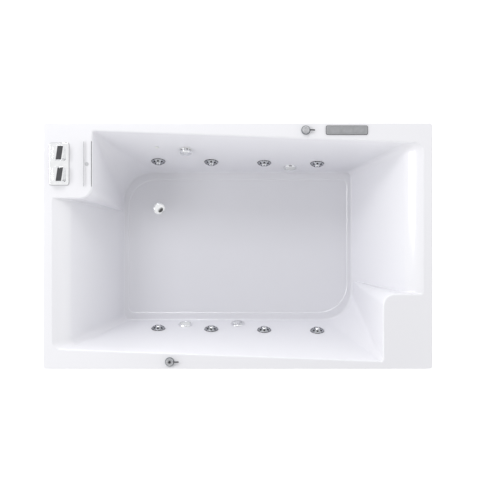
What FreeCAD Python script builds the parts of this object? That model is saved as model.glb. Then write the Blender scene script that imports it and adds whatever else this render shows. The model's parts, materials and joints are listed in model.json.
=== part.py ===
import FreeCAD, Part
import math
import os
import re
import Sketcher
from FreeCAD import Placement, Rotation, Vector

# Jetted bathtub, in millimetres. The origin lies on the floor under the tub's centre,
# +X runs along the tub, +Y across it and +Z up. The basin looks the same after half a turn about Z.
SIZES = {
    # shell: outside, rim and floor
    "tub_length": 1900,
    "tub_width": 1200,
    "rim_level": 600,
    "floor_level": 150,
    "outer_corner": 14,
    "lip_drop": 45,
    "rim_skin": 8,
    "floor_skin": 8,
    "wall_run": 9,
    # shell: opening at the rim
    "end_rim": 43,
    "side_rim_wide": 98,
    "side_rim_narrow": 37,
    "basin_corner": 40,
    # shell: rolled edge above each backrest
    "roll_run": 85,
    "roll_drop": 50,
    "roll_crown_run": 49,
    "roll_crown_drop": 12,
    # shell: foot of the walls and recessed floor panel
    "foot_length": 1204,
    "foot_width": 784,
    "foot_corner": 30,
    "panel_length": 1156,
    "panel_width": 704,
    "panel_step": 2.5,
    "panel_corner": 30,
    "panel_wide_corner": 150,
    # shell: the two deck blocks
    "deck_length": 197,
    "deck_side": 233,
    "deck_foot_side": 181,
    "deck_foot_inset": 3,
    "deck_corner": 60,
    "deck_foot_corner": 14,
    "well_corner": 34,
    "well_foot_corner": 155,
    # base board and steel frame
    "board_thickness": 18,
    "board_length": 1120,
    "board_width": 700,
    "rail_size": 40,
    "rail_wall": 2.5,
    "rail_spacing": 600,
    "rail_end_inset": 60,
    # levelling feet
    "foot_inset": 22,
    "pad_radius": 30,
    "pad_height": 12,
    "spindle_radius": 6,
    "spindle_reach": 18,
    "nut_radius": 11,
    "nut_height": 10,
    # fits
    "running_gap": 0.05,
    "seat_gap": 0.3,
    # jets
    "jet_spacing": 274,
    "jet_drop": 320,
    "ring_radius": 34,
    "ring_edge": 3.6,
    "ring_height": 11.5,
    "ring_face_radius": 25,
    "ball_radius": 15.7,
    "ball_rise": 4,
    "ball_trim": 3.2,
    "nozzle_radius": 5.5,
    "vent_count": 8,
    "vent_radius": 4.2,
    "vent_circle": 24,
    "flange_radius": 29,
    "flange_height": 2.2,
    "jet_tube_radius": 21.7,
    "jet_cup_depth": 15,
    "jet_nut_radius": 31,
    "jet_nut_height": 12,
    "chamber_radius": 27,
    "water_nipple_radius": 11,
    "air_nipple_radius": 6,
    # underwater lights
    "light_place": 274,
    "light_drop": 380,
    "bezel_radius": 36.5,
    "bezel_height": 7,
    "bezel_plate": 1.5,
    "lens_radius": 27,
    "lens_height": 10,
    "lamp_radius": 25,
    "lamp_depth": 34,
    # suction fitting
    "suction_drop": 395,
    "cover_radius": 36.5,
    "cover_height": 11,
    "cover_skin": 2.5,
    "slot_count": 12,
    "slot_width": 3,
    "suction_chamber_radius": 28,
    "suction_chamber_depth": 52,
    # overflow with its rotary knob, and level sensor
    "overflow_place": 262,
    "overflow_drop": 180,
    "overflow_body_radius": 24,
    "overflow_body_depth": 44,
    "knob_radius": 30,
    "knob_height": 12,
    "knob_stand": 11,
    "knob_stem_radius": 6,
    "sensor_place": 406,
    "sensor_drop": 155,
    "sensor_radius": 7,
    # waste
    "waste_place": 418,
    "waste_side": 200,
    "waste_radius": 31,
    "waste_tube_radius": 22,
    "waste_tube_wall": 2.5,
    "plug_radius": 27,
    "plug_dome": 7,
    "plug_stem_radius": 4,
    "plug_lift": 10,
    "trap_radius": 36,
    "trap_depth": 70,
    "trap_drop": 26,
    "trap_wall": 3,
    "drain_pipe_radius": 20,
    "drain_pipe_reach": 80,
    "overflow_hose_radius": 16,
    "hose_wall": 2.5,
    "cable_radius": 3,
    # deck mixer and waterfall spout
    "mixer_inset": 36,
    "mixer_side": 400,
    "plate_length": 206,
    "plate_width": 96,
    "plate_height": 5,
    "plate_corner": 9,
    "handle_length": 72,
    "handle_width": 58,
    "handle_height": 34,
    "handle_corner": 12,
    "handle_spacing": 104,
    "valve_width": 46,
    "valve_length": 190,
    "valve_height": 44,
    "inlet_radius": 10.5,
    "inlet_length": 24,
    "spout_overhang": 1,
    "spout_width": 56,
    "spout_length": 248,
    "spout_height": 16,
    "spout_corner": 16,
    "spout_slot_height": 6,
    "spout_slot_length": 220,
    "spout_slot_depth": 42,
    "filler_radius": 9,
    # keypad
    "keypad_place": 532,
    "keypad_rim_inset": 35,
    "keypad_length": 205,
    "keypad_width": 45,
    "keypad_height": 6,
    "keypad_corner": 8,
    "key_count": 3,
    "key_length": 52,
    "key_width": 27,
    "key_pitch": 60,
    "key_corner": 3,
    "key_rise": 0.8,
    "key_travel": 1.2,
    # air controls
    "air_place": 332,
    "air_rim_inset": 35,
    "air_flange_radius": 22.5,
    "air_flange_height": 4,
    "air_knob_radius": 18,
    "air_knob_height": 15,
    "lever_radius": 3.5,
    "lever_reach": 45,
    "air_body_radius": 15,
    "air_body_length": 60,
    # pipework
    "pipe_radius": 18,
    "pipe_wall": 2.5,
    "pipe_level": 330,
    "pipe_gap": 6,
    "pipe_bend": 60,
    "collar_wall": 3.5,
    "collar_length": 14,
    "air_pipe_radius": 8,
    "air_pipe_drop": 28.5,
    "air_riser_radius": 7.5,
    "suction_pipe_radius": 20,
    # pump
    "pump_gap": 30,
    "pump_radius": 75,
    "pump_stand": 6,
    "pump_face_side": 412,
    "volute_radius": 80,
    "volute_width": 58,
    "volute_cavity_radius": 64,
    "volute_cavity_width": 30,
    "suction_stub": 22,
    "motor_length": 250,
    "shaft_radius": 8,
    "rotor_radius": 38,
    "rotor_length": 110,
    "impeller_radius": 58,
    "impeller_width": 20,
    "fan_radius": 60,
    "fan_width": 14,
    "fan_cover": 44,
    "end_shield": 14,
    "terminal_width": 62,
    "terminal_length": 78,
    "terminal_height": 22,
    # control box and leads
    "box_inset": 240,
    "box_length": 240,
    "box_width": 130,
    "box_height": 95,
    "box_corner": 10,
    "gland_radius": 5,
    "gland_length": 20,
    "lead_radius": 3.5,
}

HALF_TURN = Rotation(Vector(0, 0, 1), 180)
UP = Vector(0, 0, 1)
ALONG = Vector(1, 0, 0)
ACROSS = Vector(0, 1, 0)
TOUCH = 1e-6

doc = FreeCAD.newDocument("jetted_bathtub")
pieces = {}


def make_sheet():
    sheet = doc.addObject("Spreadsheet::Sheet", "sizes")
    for row, (alias, value) in enumerate(SIZES.items(), start=1):
        sheet.set(f"A{row}", alias)
        sheet.set(f"B{row}", str(value))
        sheet.setAlias(f"B{row}", alias)
    doc.recompute()
    return sheet


sizes = make_sheet()


def size(alias):
    return float(sizes.get(alias))


def bind(owner, path, formula):
    owner.setExpression(path, re.sub(r"[a-z]\w*", r"sizes.\g<0>", formula))


def keep(label, piece, placement=None):
    """Registers a finished sub-part under its own label."""
    piece.Label = label
    if placement is not None:
        piece.Placement = placement
    pieces[label] = piece
    return piece


def feature(label, shape, placement=None):
    piece = doc.addObject("Part::Feature", label)
    piece.Shape = shape
    return keep(label, piece, placement or Placement())


# ---------------------------------------------------------------- body helpers


def origin_part(body, role):
    return next(item for item in body.Origin.OriginFeatures if item.Role == role)


def new_sketch(body, role, name):
    sketch = body.newObject("Sketcher::SketchObject", name)
    sketch.AttachmentSupport = [(origin_part(body, role), "")]
    sketch.MapMode = "FlatFace"
    return sketch


def hold_point(sketch, geometry, vertex, spot, across, up):
    for kind, start, formula in (("DistanceX", spot.x, across), ("DistanceY", spot.y, up)):
        index = sketch.addConstraint(Sketcher.Constraint(kind, -1, 1, geometry, vertex, start))
        bind(sketch, f"Constraints[{index}]", formula)


def polygon_sketch(body, role, name, corners):
    """A closed outline whose corners are pairs of formulas in the sheet's names."""
    sketch = new_sketch(body, role, name)
    count = len(corners)
    turns = [2 * math.pi * index / count for index in range(count)]
    spots = [Vector(50 + 10 * math.cos(turn), 10 * math.sin(turn), 0) for turn in turns]
    for index in range(count):
        sketch.addGeometry(Part.LineSegment(spots[index], spots[(index + 1) % count]), False)
    for index in range(count):
        sketch.addConstraint(Sketcher.Constraint("Coincident", index, 2, (index + 1) % count, 1))
    for index, (across, up) in enumerate(corners):
        hold_point(sketch, index, 1, spots[index], across, up)
    return sketch


def turned(name, corners):
    """A body of revolution about its own Z from an outline of (radius, height) formulas."""
    body = doc.addObject("PartDesign::Body", name)
    sketch = polygon_sketch(body, "XZ_Plane", f"{name}_profile", corners)
    turn = body.newObject("PartDesign::Revolution", f"{name}_turn")
    turn.Profile = sketch
    turn.ReferenceAxis = (sketch, ["V_Axis"])
    turn.Angle = 360
    doc.recompute()
    return body


def padded(name, corners, height):
    body = doc.addObject("PartDesign::Body", name)
    sketch = polygon_sketch(body, "XY_Plane", f"{name}_outline", corners)
    pad = body.newObject("PartDesign::Pad", f"{name}_pad")
    pad.Profile = sketch
    bind(pad, "Length", height)
    doc.recompute()
    return body


def rectangle(length, width):
    return [
        (f"-{length} / 2", f"-{width} / 2"),
        (f"{length} / 2", f"-{width} / 2"),
        (f"{length} / 2", f"{width} / 2"),
        (f"-{length} / 2", f"{width} / 2"),
    ]


def upright_edges(shape):
    names = []
    for index, edge in enumerate(shape.Edges, start=1):
        run = edge.Vertexes[-1].Point - edge.Vertexes[0].Point
        if run.Length > 0 and abs(abs(run.z) - run.Length) < 1e-6:
            names.append(f"Edge{index}")
    return names


def round_edges(body, names, radius):
    fillet = body.newObject("PartDesign::Fillet", f"{body.Name}_round")
    fillet.Base = (fillet.getParentGeoFeatureGroup().Group[-2], names)
    bind(fillet, "Radius", radius)
    doc.recompute()
    return body


def rounded_block(name, length, width, height, corner):
    body = padded(name, rectangle(length, width), height)
    return round_edges(body, upright_edges(body.Shape), corner)


def pocket(body, sketch, depth, backwards=False):
    before = body.Shape.Volume
    cut = body.newObject("PartDesign::Pocket", f"{sketch.Name}_cut")
    cut.Profile = sketch
    cut.Reversed = backwards
    if depth is None:
        cut.Type = "ThroughAll"
        cut.Midplane = True
    else:
        bind(cut, "Length", depth)
    doc.recompute()
    if not body.Shape.Volume < before:
        raise ValueError(f"{sketch.Name} cuts nothing")
    return cut


def circle_sketch(body, role, name, across, up, radius):
    sketch = new_sketch(body, role, name)
    spot = Vector(20, 10, 0)
    sketch.addGeometry(Part.Circle(spot, UP, 4), False)
    hold_point(sketch, 0, 3, spot, across, up)
    index = sketch.addConstraint(Sketcher.Constraint("Radius", 0, 4))
    bind(sketch, f"Constraints[{index}]", radius)
    return sketch


def ring_of(body, cut, sketch, count):
    """Repeats a cut about the sketch's normal axis."""
    before = body.Shape.Volume
    pattern = body.newObject("PartDesign::PolarPattern", f"{cut.Name}_ring")
    pattern.Originals = [cut]
    pattern.Axis = (sketch, ["N_Axis"])
    pattern.Angle = 360
    bind(pattern, "Occurrences", count)
    body.Tip = pattern
    doc.recompute()
    if not body.Shape.Volume < before:
        raise ValueError(f"{cut.Name} pattern cuts nothing")


def primitive(kind, name, placement, **formulas):
    solid = doc.addObject(f"Part::{kind}", name)
    for path, formula in formulas.items():
        bind(solid, path, formula)
    solid.Placement = placement
    return solid


def cut_from(name, base, *tools):
    """Base minus each tool in turn."""
    for index, tool in enumerate(tools):
        result = doc.addObject("Part::Cut", f"{name}_cut{index}")
        result.Base = base
        result.Tool = tool
        base = result
    doc.recompute()
    return base


def fused(name, *parts):
    result = doc.addObject("Part::MultiFuse", f"{name}_fuse")
    result.Shapes = list(parts)
    doc.recompute()
    return result


# ---------------------------------------------------------------- basin geometry


def end_edge():
    return size("tub_length") / 2 - size("end_rim")


def deck_edge():
    return end_edge() - size("deck_length")


def foot_level():
    return size("floor_level") + size("panel_step")


def rise(level):
    """Share of the wall's height reached at a level: 0 at its foot, 1 at the rim."""
    return (level - foot_level()) / (size("rim_level") - foot_level())


def end_profile():
    """A backrest's outline as (level, distance) pairs, from its foot over its roll to the rim."""
    rim = size("rim_level")
    edge = end_edge()
    return [
        (foot_level(), size("foot_length") / 2),
        (rim - size("roll_drop"), edge - size("roll_run")),
        (rim - size("roll_crown_drop"), edge - size("roll_crown_run")),
        (rim, edge),
    ]


def end_wall_x(level):
    spots = end_profile()
    index = max([step for step, spot in enumerate(spots[:-1]) if spot[0] <= level], default=0)
    low, near = spots[index]
    high, far = spots[index + 1]
    return near + (far - near) * (level - low) / (high - low)


def end_skin(bottom):
    """The back of a backrest: its outline moved out by the wall, down to a level."""
    spots = end_profile()
    skin = []
    for index, (level, reach) in enumerate(spots):
        before = spots[max(index - 1, 0)]
        after = spots[min(index + 1, len(spots) - 1)]
        run = Vector(after[1] - before[1], 0, after[0] - before[0]).normalize() * size("wall_run")
        skin.append((level - run.x, reach + run.z))
    (low, near), (high, far) = skin[:2]
    skin[0] = (bottom, near + (far - near) * (bottom - low) / (high - low))
    return skin + [(size("rim_level"), skin[-1][1])]


def rim_side_y(place):
    """Edge of the opening on the +Y side, which runs at a slight angle to the tub."""
    near = size("tub_width") / 2 - size("side_rim_narrow")
    far = size("tub_width") / 2 - size("side_rim_wide")
    return near + (far - near) * (place + deck_edge()) / (end_edge() + deck_edge())


def side_wall_y(place, level):
    """Inner face of the long wall on the +Y side."""
    share = rise(level)
    along = place / end_wall_x(level)
    foot = size("foot_width") / 2
    return foot + (rim_side_y(along * end_edge()) - foot) * share


def arc_spots(before, point, after, radius):
    """Start, middle and end of the arc that rounds a corner."""
    to_start = (before - point).normalize()
    to_end = (after - point).normalize()
    half = to_start.getAngle(to_end) / 2
    setback = radius / math.tan(half)
    middle = point + (to_start + to_end).normalize() * (radius / math.sin(half) - radius)
    return point + to_start * setback, middle, point + to_end * setback


def rounded_wire(corners, level):
    """A closed wire through (point, radius) corners, with an arc at each radius above zero."""
    spots = []
    count = len(corners)
    for index, (point, radius) in enumerate(corners):
        before = corners[index - 1][0]
        after = corners[(index + 1) % count][0]
        spots.append(arc_spots(before, point, after, radius) if radius else (point,))
    edges = []
    for index, spot in enumerate(spots):
        if len(spot) == 3:
            edges.append(Part.Arc(*spot).toShape())
        following = spots[(index + 1) % count][0]
        if (following - spot[-1]).Length > TOUCH:
            edges.append(Part.LineSegment(spot[-1], following).toShape())
    wire = Part.Wire(edges)
    wire.translate(Vector(0, 0, level))
    return wire


def basin_wire(level, end, grow):
    """Outline of the basin without its deck blocks, between end walls at a given distance."""
    reach = end_wall_x(level)
    wide = side_wall_y(-reach, level)
    narrow = side_wall_y(reach, level)
    slope = (narrow - wide) / (2 * reach)
    middle = (wide + narrow) / 2 + grow * math.hypot(1, slope)
    radius = size("foot_corner") + (size("basin_corner") - size("foot_corner")) * rise(level) + grow
    corners = []
    for turn in (1, -1):
        corners.append((Vector(end, middle + slope * end, 0) * turn, radius))
        corners.append((Vector(-end, middle - slope * end, 0) * turn, radius))
    return rounded_wire(corners, level)


def block_wire(level, shrink):
    """Outline of the deck block at -X, +Y, out past the tub on its two outer sides."""
    share = rise(level)
    foot_x = size("foot_length") / 2 + size("deck_foot_inset")
    face = -(foot_x + (deck_edge() - foot_x) * share) - shrink
    side = size("deck_foot_side") + (size("deck_side") - size("deck_foot_side")) * share + shrink
    corner = size("deck_foot_corner") + (size("deck_corner") - size("deck_foot_corner")) * share
    cove = size("well_foot_corner") + (size("well_corner") - size("well_foot_corner")) * share + shrink
    wall = side_wall_y(face + cove, level) + shrink + size("panel_step")
    end = -size("tub_length") / 2
    flank = size("tub_width") / 2
    points = [
        (Vector(end, side, 0), 0),
        (Vector(face, side, 0), corner),
        (Vector(face, wall, 0), cove),
        (Vector(face + cove, wall, 0), 0),
        (Vector(face + cove, flank, 0), 0),
        (Vector(end, flank, 0), 0),
    ]
    return rounded_wire(points, level)


def loft(wires):
    return Part.makeLoft(wires, True, True)


def basin_solid(profile, grow):
    """The basin's space between its end walls, or with the wall's thickness added."""
    space = loft([basin_wire(level, end, grow) for level, end in profile])
    levels = [level for level, end in profile]
    levels[0] -= 1
    levels[-1] += 1
    block = loft([block_wire(level, grow) for level in levels])
    other = block.copy()
    other.rotate(Vector(), UP, 180)
    return space.cut(block).cut(other)


def panel_solid():
    half_x = size("panel_length") / 2
    half_y = size("panel_width") / 2
    small = size("panel_corner")
    large = size("panel_wide_corner")
    corners = [
        (Vector(half_x, half_y, 0), small),
        (Vector(-half_x, half_y, 0), large),
        (Vector(-half_x, -half_y, 0), small),
        (Vector(half_x, -half_y, 0), large),
    ]
    face = Part.Face(rounded_wire(corners, size("floor_level")))
    return face.extrude(UP * (size("panel_step") + size("floor_skin")))


def slab(inset, low, high):
    """A rounded block of the tub's plan, drawn in by an inset."""
    half_x = size("tub_length") / 2 - inset
    half_y = size("tub_width") / 2 - inset
    corner = size("outer_corner") - inset
    spots = [(half_x, half_y), (-half_x, half_y), (-half_x, -half_y), (half_x, -half_y)]
    corners = [(Vector(x, y, 0), corner) for x, y in spots]
    return Part.Face(rounded_wire(corners, low)).extrude(UP * (high - low))


def post(radius, centre, axis, length):
    return Part.makeCylinder(radius, length, centre, axis)


# ---------------------------------------------------------------- seats on the walls


def side_seat(place, drop, side):
    """Frame of a fitting on a long wall: Z points into the basin, Y up the wall."""
    level = size("rim_level") - drop
    x = place * side
    y = side_wall_y(x, level)
    slope = side_wall_y(x, level + 1) - y
    skew = side_wall_y(x + 1, level) - y
    inward = Vector(skew, -1, slope).normalize()
    upward = (UP - inward * UP.dot(inward)).normalize()
    base = Vector(x, y, level) + inward * size("seat_gap")
    seat = Placement(base, Rotation(upward.cross(inward), upward, inward, "ZYX"))
    if side < 0:
        seat = Placement(Vector(), HALF_TURN).multiply(seat)
    return seat


def wall_depth(seat):
    """From a fitting's seat through the wall to its nut."""
    return size("wall_run") * abs(seat.Rotation.multVec(UP).y) + 2 * size("seat_gap")


def jet_places():
    spacing = size("jet_spacing")
    return [spacing * step for step in (-1.5, -0.5, 0.5, 1.5)]


def jet_seats():
    return [side_seat(place, size("jet_drop"), side) for side in (1, -1) for place in jet_places()]


def light_seat(side):
    return side_seat(size("light_place") * side, size("light_drop"), side)


def waste_spot():
    return Vector(-size("waste_place"), size("waste_side"), size("floor_level"))


def board_bottom():
    return size("floor_level") - size("floor_skin") - size("board_thickness")


def rail_bottom():
    return board_bottom() - size("rail_size")


def pump_level():
    return board_bottom() + size("pump_stand") + size("pump_radius")


def pump_x():
    shell = end_wall_x(pump_level() + size("pump_radius")) + size("wall_run")
    return shell + size("pump_gap") + size("pump_radius")


def pipe_side():
    """How far out the pressure pipes run, clear of the long walls."""
    top = size("pipe_level") + size("pipe_radius")
    wall = side_wall_y(-1.6 * size("jet_spacing"), top) + size("wall_run")
    return wall + size("pipe_gap") + size("pipe_radius")


def air_spots():
    reach = size("tub_width") / 2 - size("air_rim_inset")
    return [Vector(size("air_place"), reach, 0), Vector(-size("air_place"), -reach, 0)]


def mixer_spot():
    return Vector(-(end_edge() - size("mixer_inset")), size("mixer_side"), size("rim_level"))


def spout_spot():
    x = -deck_edge() + size("spout_overhang") - size("spout_width") / 2
    return Vector(x, size("mixer_side"), size("rim_level"))


def keypad_spot():
    y = size("tub_width") / 2 - size("keypad_rim_inset")
    return Vector(size("keypad_place"), y, size("rim_level"))


# ---------------------------------------------------------------- tub, board, frame and feet


def shell_holes():
    gap = size("seat_gap")
    through = 4 * size("wall_run")
    fittings = [(seat, size("jet_tube_radius")) for seat in jet_seats()]
    for side in (1, -1):
        fittings.append((light_seat(side), size("lamp_radius")))
    fittings.append((side_seat(0, size("suction_drop"), -1), size("suction_chamber_radius")))
    overflow = side_seat(-size("overflow_place"), size("overflow_drop"), 1)
    fittings.append((overflow, size("overflow_body_radius")))
    sensor = side_seat(-size("sensor_place"), size("sensor_drop"), 1)
    fittings.append((sensor, size("sensor_radius")))
    holes = []
    for seat, radius in fittings:
        axis = seat.Rotation.multVec(UP)
        holes.append(post(radius + gap, seat.Base - axis * through / 2, axis, through))
    upright = [(waste_spot(), size("waste_tube_radius")), (mixer_spot(), size("filler_radius"))]
    upright.append((spout_spot(), size("filler_radius")))
    upright.append((keypad_spot(), size("lead_radius")))
    for spot in air_spots():
        upright.append((spot + UP * size("rim_level"), size("air_body_radius")))
    for spot, radius in upright:
        holes.append(post(radius + gap, spot - UP * through / 2, UP, through))
    for spot in handle_spots():
        holes.append(post(size("knob_stem_radius") + gap, spot - UP * through / 2, UP, through))
    return holes


def handle_spots():
    offset = ACROSS * size("handle_spacing") / 2
    return [mixer_spot() + offset, mixer_spot() - offset]


def make_shell():
    top = size("rim_level")
    lip = slab(0, top - size("lip_drop"), top)
    hollow = slab(size("rim_skin"), top - size("lip_drop") - 1, top - size("rim_skin"))
    outside = basin_solid(end_skin(size("floor_level") - size("floor_skin")), size("wall_run"))
    body = lip.cut(hollow).fuse(outside)
    body = body.cut(basin_solid(end_profile(), 0)).cut(panel_solid())
    return feature("tub_shell", body.cut(shell_holes()))


def make_board():
    body = padded("base_board_body", rectangle("board_length", "board_width"), "board_thickness")
    hole = circle_sketch(
        body, "XY_Plane", "drain_hole", "-waste_place", "waste_side", "waste_tube_radius + nut_height")
    pocket(body, hole, None)
    return keep("base_board", body, Placement(UP * board_bottom(), Rotation()))


def square_tube(name, length):
    """A square steel tube along its own Z."""
    body = padded(f"{name}_body", rectangle("rail_size", "rail_size"), length)
    bore = "(rail_size - 2 * rail_wall)"
    pocket(body, polygon_sketch(body, "XY_Plane", f"{name}_bore", rectangle(bore, bore)), None)
    return body


def along_x(start):
    return Placement(start, Rotation(ACROSS, 90))


def along_y(start):
    return Placement(start, Rotation(ALONG, -90))


def make_long_rails():
    reach = pump_x() - size("rail_size") / 2
    half = size("rail_size") / 2
    bore = half - size("rail_wall")
    for name, side in (("rear", 1), ("front", -1)):
        middle = Vector(-reach, side * size("rail_spacing") / 2, board_bottom() - half)
        outer = Part.makeBox(2 * reach, 2 * half, 2 * half, middle - Vector(0, half, half))
        inner = Part.makeBox(2 * reach, 2 * bore, 2 * bore, middle - Vector(0, bore, bore))
        feature(f"long_rail_{name}", outer.cut(inner))


def cross_rail_reach():
    return size("tub_width") / 2 - size("rail_end_inset")


def foot_spots():
    reach = cross_rail_reach() - size("foot_inset")
    corners = [Vector(x, y, 0) for x in (-pump_x(), pump_x()) for y in (-reach, reach)]
    return corners + [Vector()]


def cross_rail(label, length, reach, place, feet):
    """A cross rail with a welded nut under it for each foot that it carries."""
    tube = square_tube(label, length)
    tube.Placement = along_y(Vector(place, -reach, board_bottom() - size("rail_size") / 2))
    parts = [tube]
    tools = []
    for index, foot in enumerate(feet):
        base = Vector(foot.x, foot.y, rail_bottom() - size("nut_height"))
        parts.append(primitive(
            "Prism", f"{label}_nut{index}", Placement(base, Rotation()),
            Circumradius="nut_radius", Height="nut_height"))
        tools.append(primitive(
            "Cylinder", f"{label}_thread{index}", Placement(base, Rotation()),
            Radius="spindle_radius + running_gap", Height="nut_height + rail_wall"))
    keep(label, cut_from(label, fused(label, *parts), *tools), Placement())


def make_cross_rails():
    feet = foot_spots()
    full = "tub_width - 2 * rail_end_inset"
    inner = (size("rail_spacing") - size("rail_size")) / 2
    cross_rail("cross_rail_left", full, cross_rail_reach(), -pump_x(), feet[0:2])
    cross_rail("cross_rail_right", full, cross_rail_reach(), pump_x(), feet[2:4])
    cross_rail("cross_rail_middle", "rail_spacing - rail_size", inner, 0, feet[4:])


def make_feet():
    top = "floor_level - floor_skin - board_thickness - rail_size + spindle_reach"
    profile = [
        ("0", "0"),
        ("pad_radius", "0"),
        ("pad_radius", "pad_height / 2"),
        ("spindle_radius * 2", "pad_height"),
        ("spindle_radius", "pad_height"),
        ("spindle_radius", top),
        ("0", top),
    ]
    for index, spot in enumerate(foot_spots(), start=1):
        foot = turned(f"foot_{index}_body", profile)
        keep(f"foot_{index}", foot, Placement(spot, Rotation()))


# ---------------------------------------------------------------- fittings in the walls


def jet_ring():
    """Face ring: flow control, with openings round the nozzle ball's seat."""
    seat = "(ball_radius + seat_gap)"
    profile = [
        (seat, "flange_height + seat_gap"),
        ("flange_radius + seat_gap", "flange_height + seat_gap"),
        ("flange_radius + seat_gap", "seat_gap"),
        ("ring_radius", "seat_gap"),
        ("ring_radius", "ring_edge"),
        ("ring_face_radius", "ring_height"),
        (f"{seat} * 0.87", "ring_height + seat_gap"),
        (seat, "ball_rise + ball_radius * 0.27"),
    ]
    body = turned("jet_ring_master", profile)
    vent = circle_sketch(body, "XY_Plane", "jet_vent", "vent_circle", "0", "vent_radius")
    cut = pocket(body, vent, None)
    ring_of(body, cut, vent, "vent_count")
    return body


def jet_ball():
    """Nozzle ball with its front trimmed flat and a bore right through."""
    centre = Placement(UP * size("ball_rise"), Rotation())
    ball = primitive("Sphere", "jet_ball_sphere", centre, Radius="ball_radius")
    front = Placement(UP * (size("ball_rise") + size("ball_radius") - size("ball_trim")), Rotation())
    trim = primitive("Cylinder", "jet_ball_front", front, Radius="ball_radius", Height="ball_trim * 2")
    back = Placement(UP * (size("ball_rise") - size("ball_radius") * 2), Rotation())
    bore = primitive("Cylinder", "jet_ball_bore", back, Radius="nozzle_radius", Height="ball_radius * 4")
    return cut_from("jet_ball_master", ball, trim, bore)


def make_jet_faces():
    ring = jet_ring().Shape
    ball = jet_ball().Shape
    for index, seat in enumerate(jet_seats(), start=1):
        feature(f"jet_ring_{index}", ring.copy(), seat)
        feature(f"jet_ball_{index}", ball.copy(), seat)


def axial(radius, start, end, seat):
    """A cylinder about a fitting's axis, between two distances from the wall's face."""
    axis = seat.Rotation.multVec(UP)
    return post(radius, seat.Base + axis * start, axis, end - start)


def chamber_depth(seat):
    """Depth behind the wall's face at which a jet body reaches past the pressure pipe."""
    beyond = pipe_side() + size("water_nipple_radius") + size("pipe_wall")
    return (beyond - abs(seat.Base.y)) / abs(seat.Rotation.multVec(UP).y)


def jet_body(seat):
    """Wall flange, tube, nut and chamber, with a water nipple above and an air nipple below."""
    wall = wall_depth(seat)
    depth = chamber_depth(seat)
    nut = wall + size("jet_nut_height")
    body = axial(size("flange_radius"), 0, size("flange_height"), seat)
    body = body.fuse(axial(size("jet_tube_radius"), -nut, 0, seat))
    body = body.fuse(axial(size("jet_nut_radius"), -nut, -wall, seat))
    body = body.fuse(axial(size("chamber_radius"), -depth, -nut, seat))
    middle = seat.Base - seat.Rotation.multVec(UP) * (depth - size("water_nipple_radius"))
    x = middle.x
    y = math.copysign(pipe_side(), seat.Base.y)
    water_top = size("pipe_level") - size("pipe_radius") + size("pipe_wall")
    air_bottom = air_pipe_level() + size("air_pipe_radius") - size("pipe_wall") / 2
    water = post(size("water_nipple_radius"), Vector(x, y, middle.z), UP, water_top - middle.z)
    air = post(size("air_nipple_radius"), Vector(x, y, air_bottom), UP, middle.z - air_bottom)
    floor = -size("jet_cup_depth")
    cup = axial(size("ball_radius") + size("seat_gap"), floor, size("flange_height") + 1, seat)
    throat = axial(size("nozzle_radius"), floor - nut, floor, seat)
    return body.fuse([water, air]).cut([cup, throat])


def chamber_foot():
    """Lowest level that the jets' chambers reach."""
    levels = []
    for place in jet_places():
        seat = side_seat(place, size("jet_drop"), 1)
        axis = seat.Rotation.multVec(UP)
        flank = size("chamber_radius") * math.hypot(axis.x, axis.y)
        levels.append(seat.Base.z - axis.z * chamber_depth(seat) - flank)
    return min(levels)


def air_pipe_level():
    return chamber_foot() - size("air_pipe_drop")


def make_jet_bodies():
    bodies = []
    for place in jet_places():
        body = jet_body(side_seat(place, size("jet_drop"), 1))
        other = body.copy()
        other.rotate(Vector(), UP, 180)
        bodies += [body, other]
    feature("jet_bodies", Part.makeCompound(bodies))


def nipple_places():
    """Where along the tub each jet's nipples stand, on the +Y side."""
    places = []
    for place in jet_places():
        seat = side_seat(place, size("jet_drop"), 1)
        back = seat.Rotation.multVec(UP) * (chamber_depth(seat) - size("water_nipple_radius"))
        places.append(seat.Base.x - back.x)
    return places


def make_lights():
    """Two lamps: a chromed rim and body in one, with the lens set into it."""
    seats = [light_seat(side) for side in (1, -1)]
    bezel = [
        ("0", "0"),
        ("bezel_radius", "0"),
        ("bezel_radius", "bezel_height / 3"),
        ("bezel_radius - bezel_height / 2", "bezel_height"),
        ("lens_radius + seat_gap", "bezel_height"),
        ("lens_radius + seat_gap", "bezel_plate"),
        ("0", "bezel_plate"),
    ]
    lens = [
        ("0", "bezel_plate + seat_gap"),
        ("lens_radius", "bezel_plate + seat_gap"),
        ("lens_radius", "bezel_height * 0.7"),
        ("lens_radius * 0.7", "lens_height * 0.93"),
        ("0", "lens_height"),
    ]
    bezel_shape = turned("light_bezel", bezel).Shape
    lens_shape = turned("light_lens", lens).Shape
    housings = []
    lenses = []
    for seat in seats:
        wall = wall_depth(seat)
        body = axial(size("lamp_radius"), -wall - size("lamp_depth"), 0, seat)
        nut = axial(size("jet_nut_radius"), -wall - size("jet_nut_height"), -wall, seat)
        housings.append(body.fuse([nut, placed(bezel_shape, seat), lamp_gland(seat)]))
        lenses.append(placed(lens_shape, seat))
    feature("light_housings", Part.makeCompound(housings))
    feature("light_lenses", Part.makeCompound(lenses))


def placed(shape, seat):
    copy = shape.copy()
    copy.Placement = seat
    return copy


def lamp_gland(seat):
    """Lead outlet on the side of a lamp's body, towards the pump end."""
    return post(size("lead_radius") * 2, lamp_back(seat), ALONG, size("lamp_radius") + size("nut_height"))


def lamp_back(seat):
    return seat.Base - seat.Rotation.multVec(UP) * (wall_depth(seat) + size("lamp_depth") * 0.7)


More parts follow.
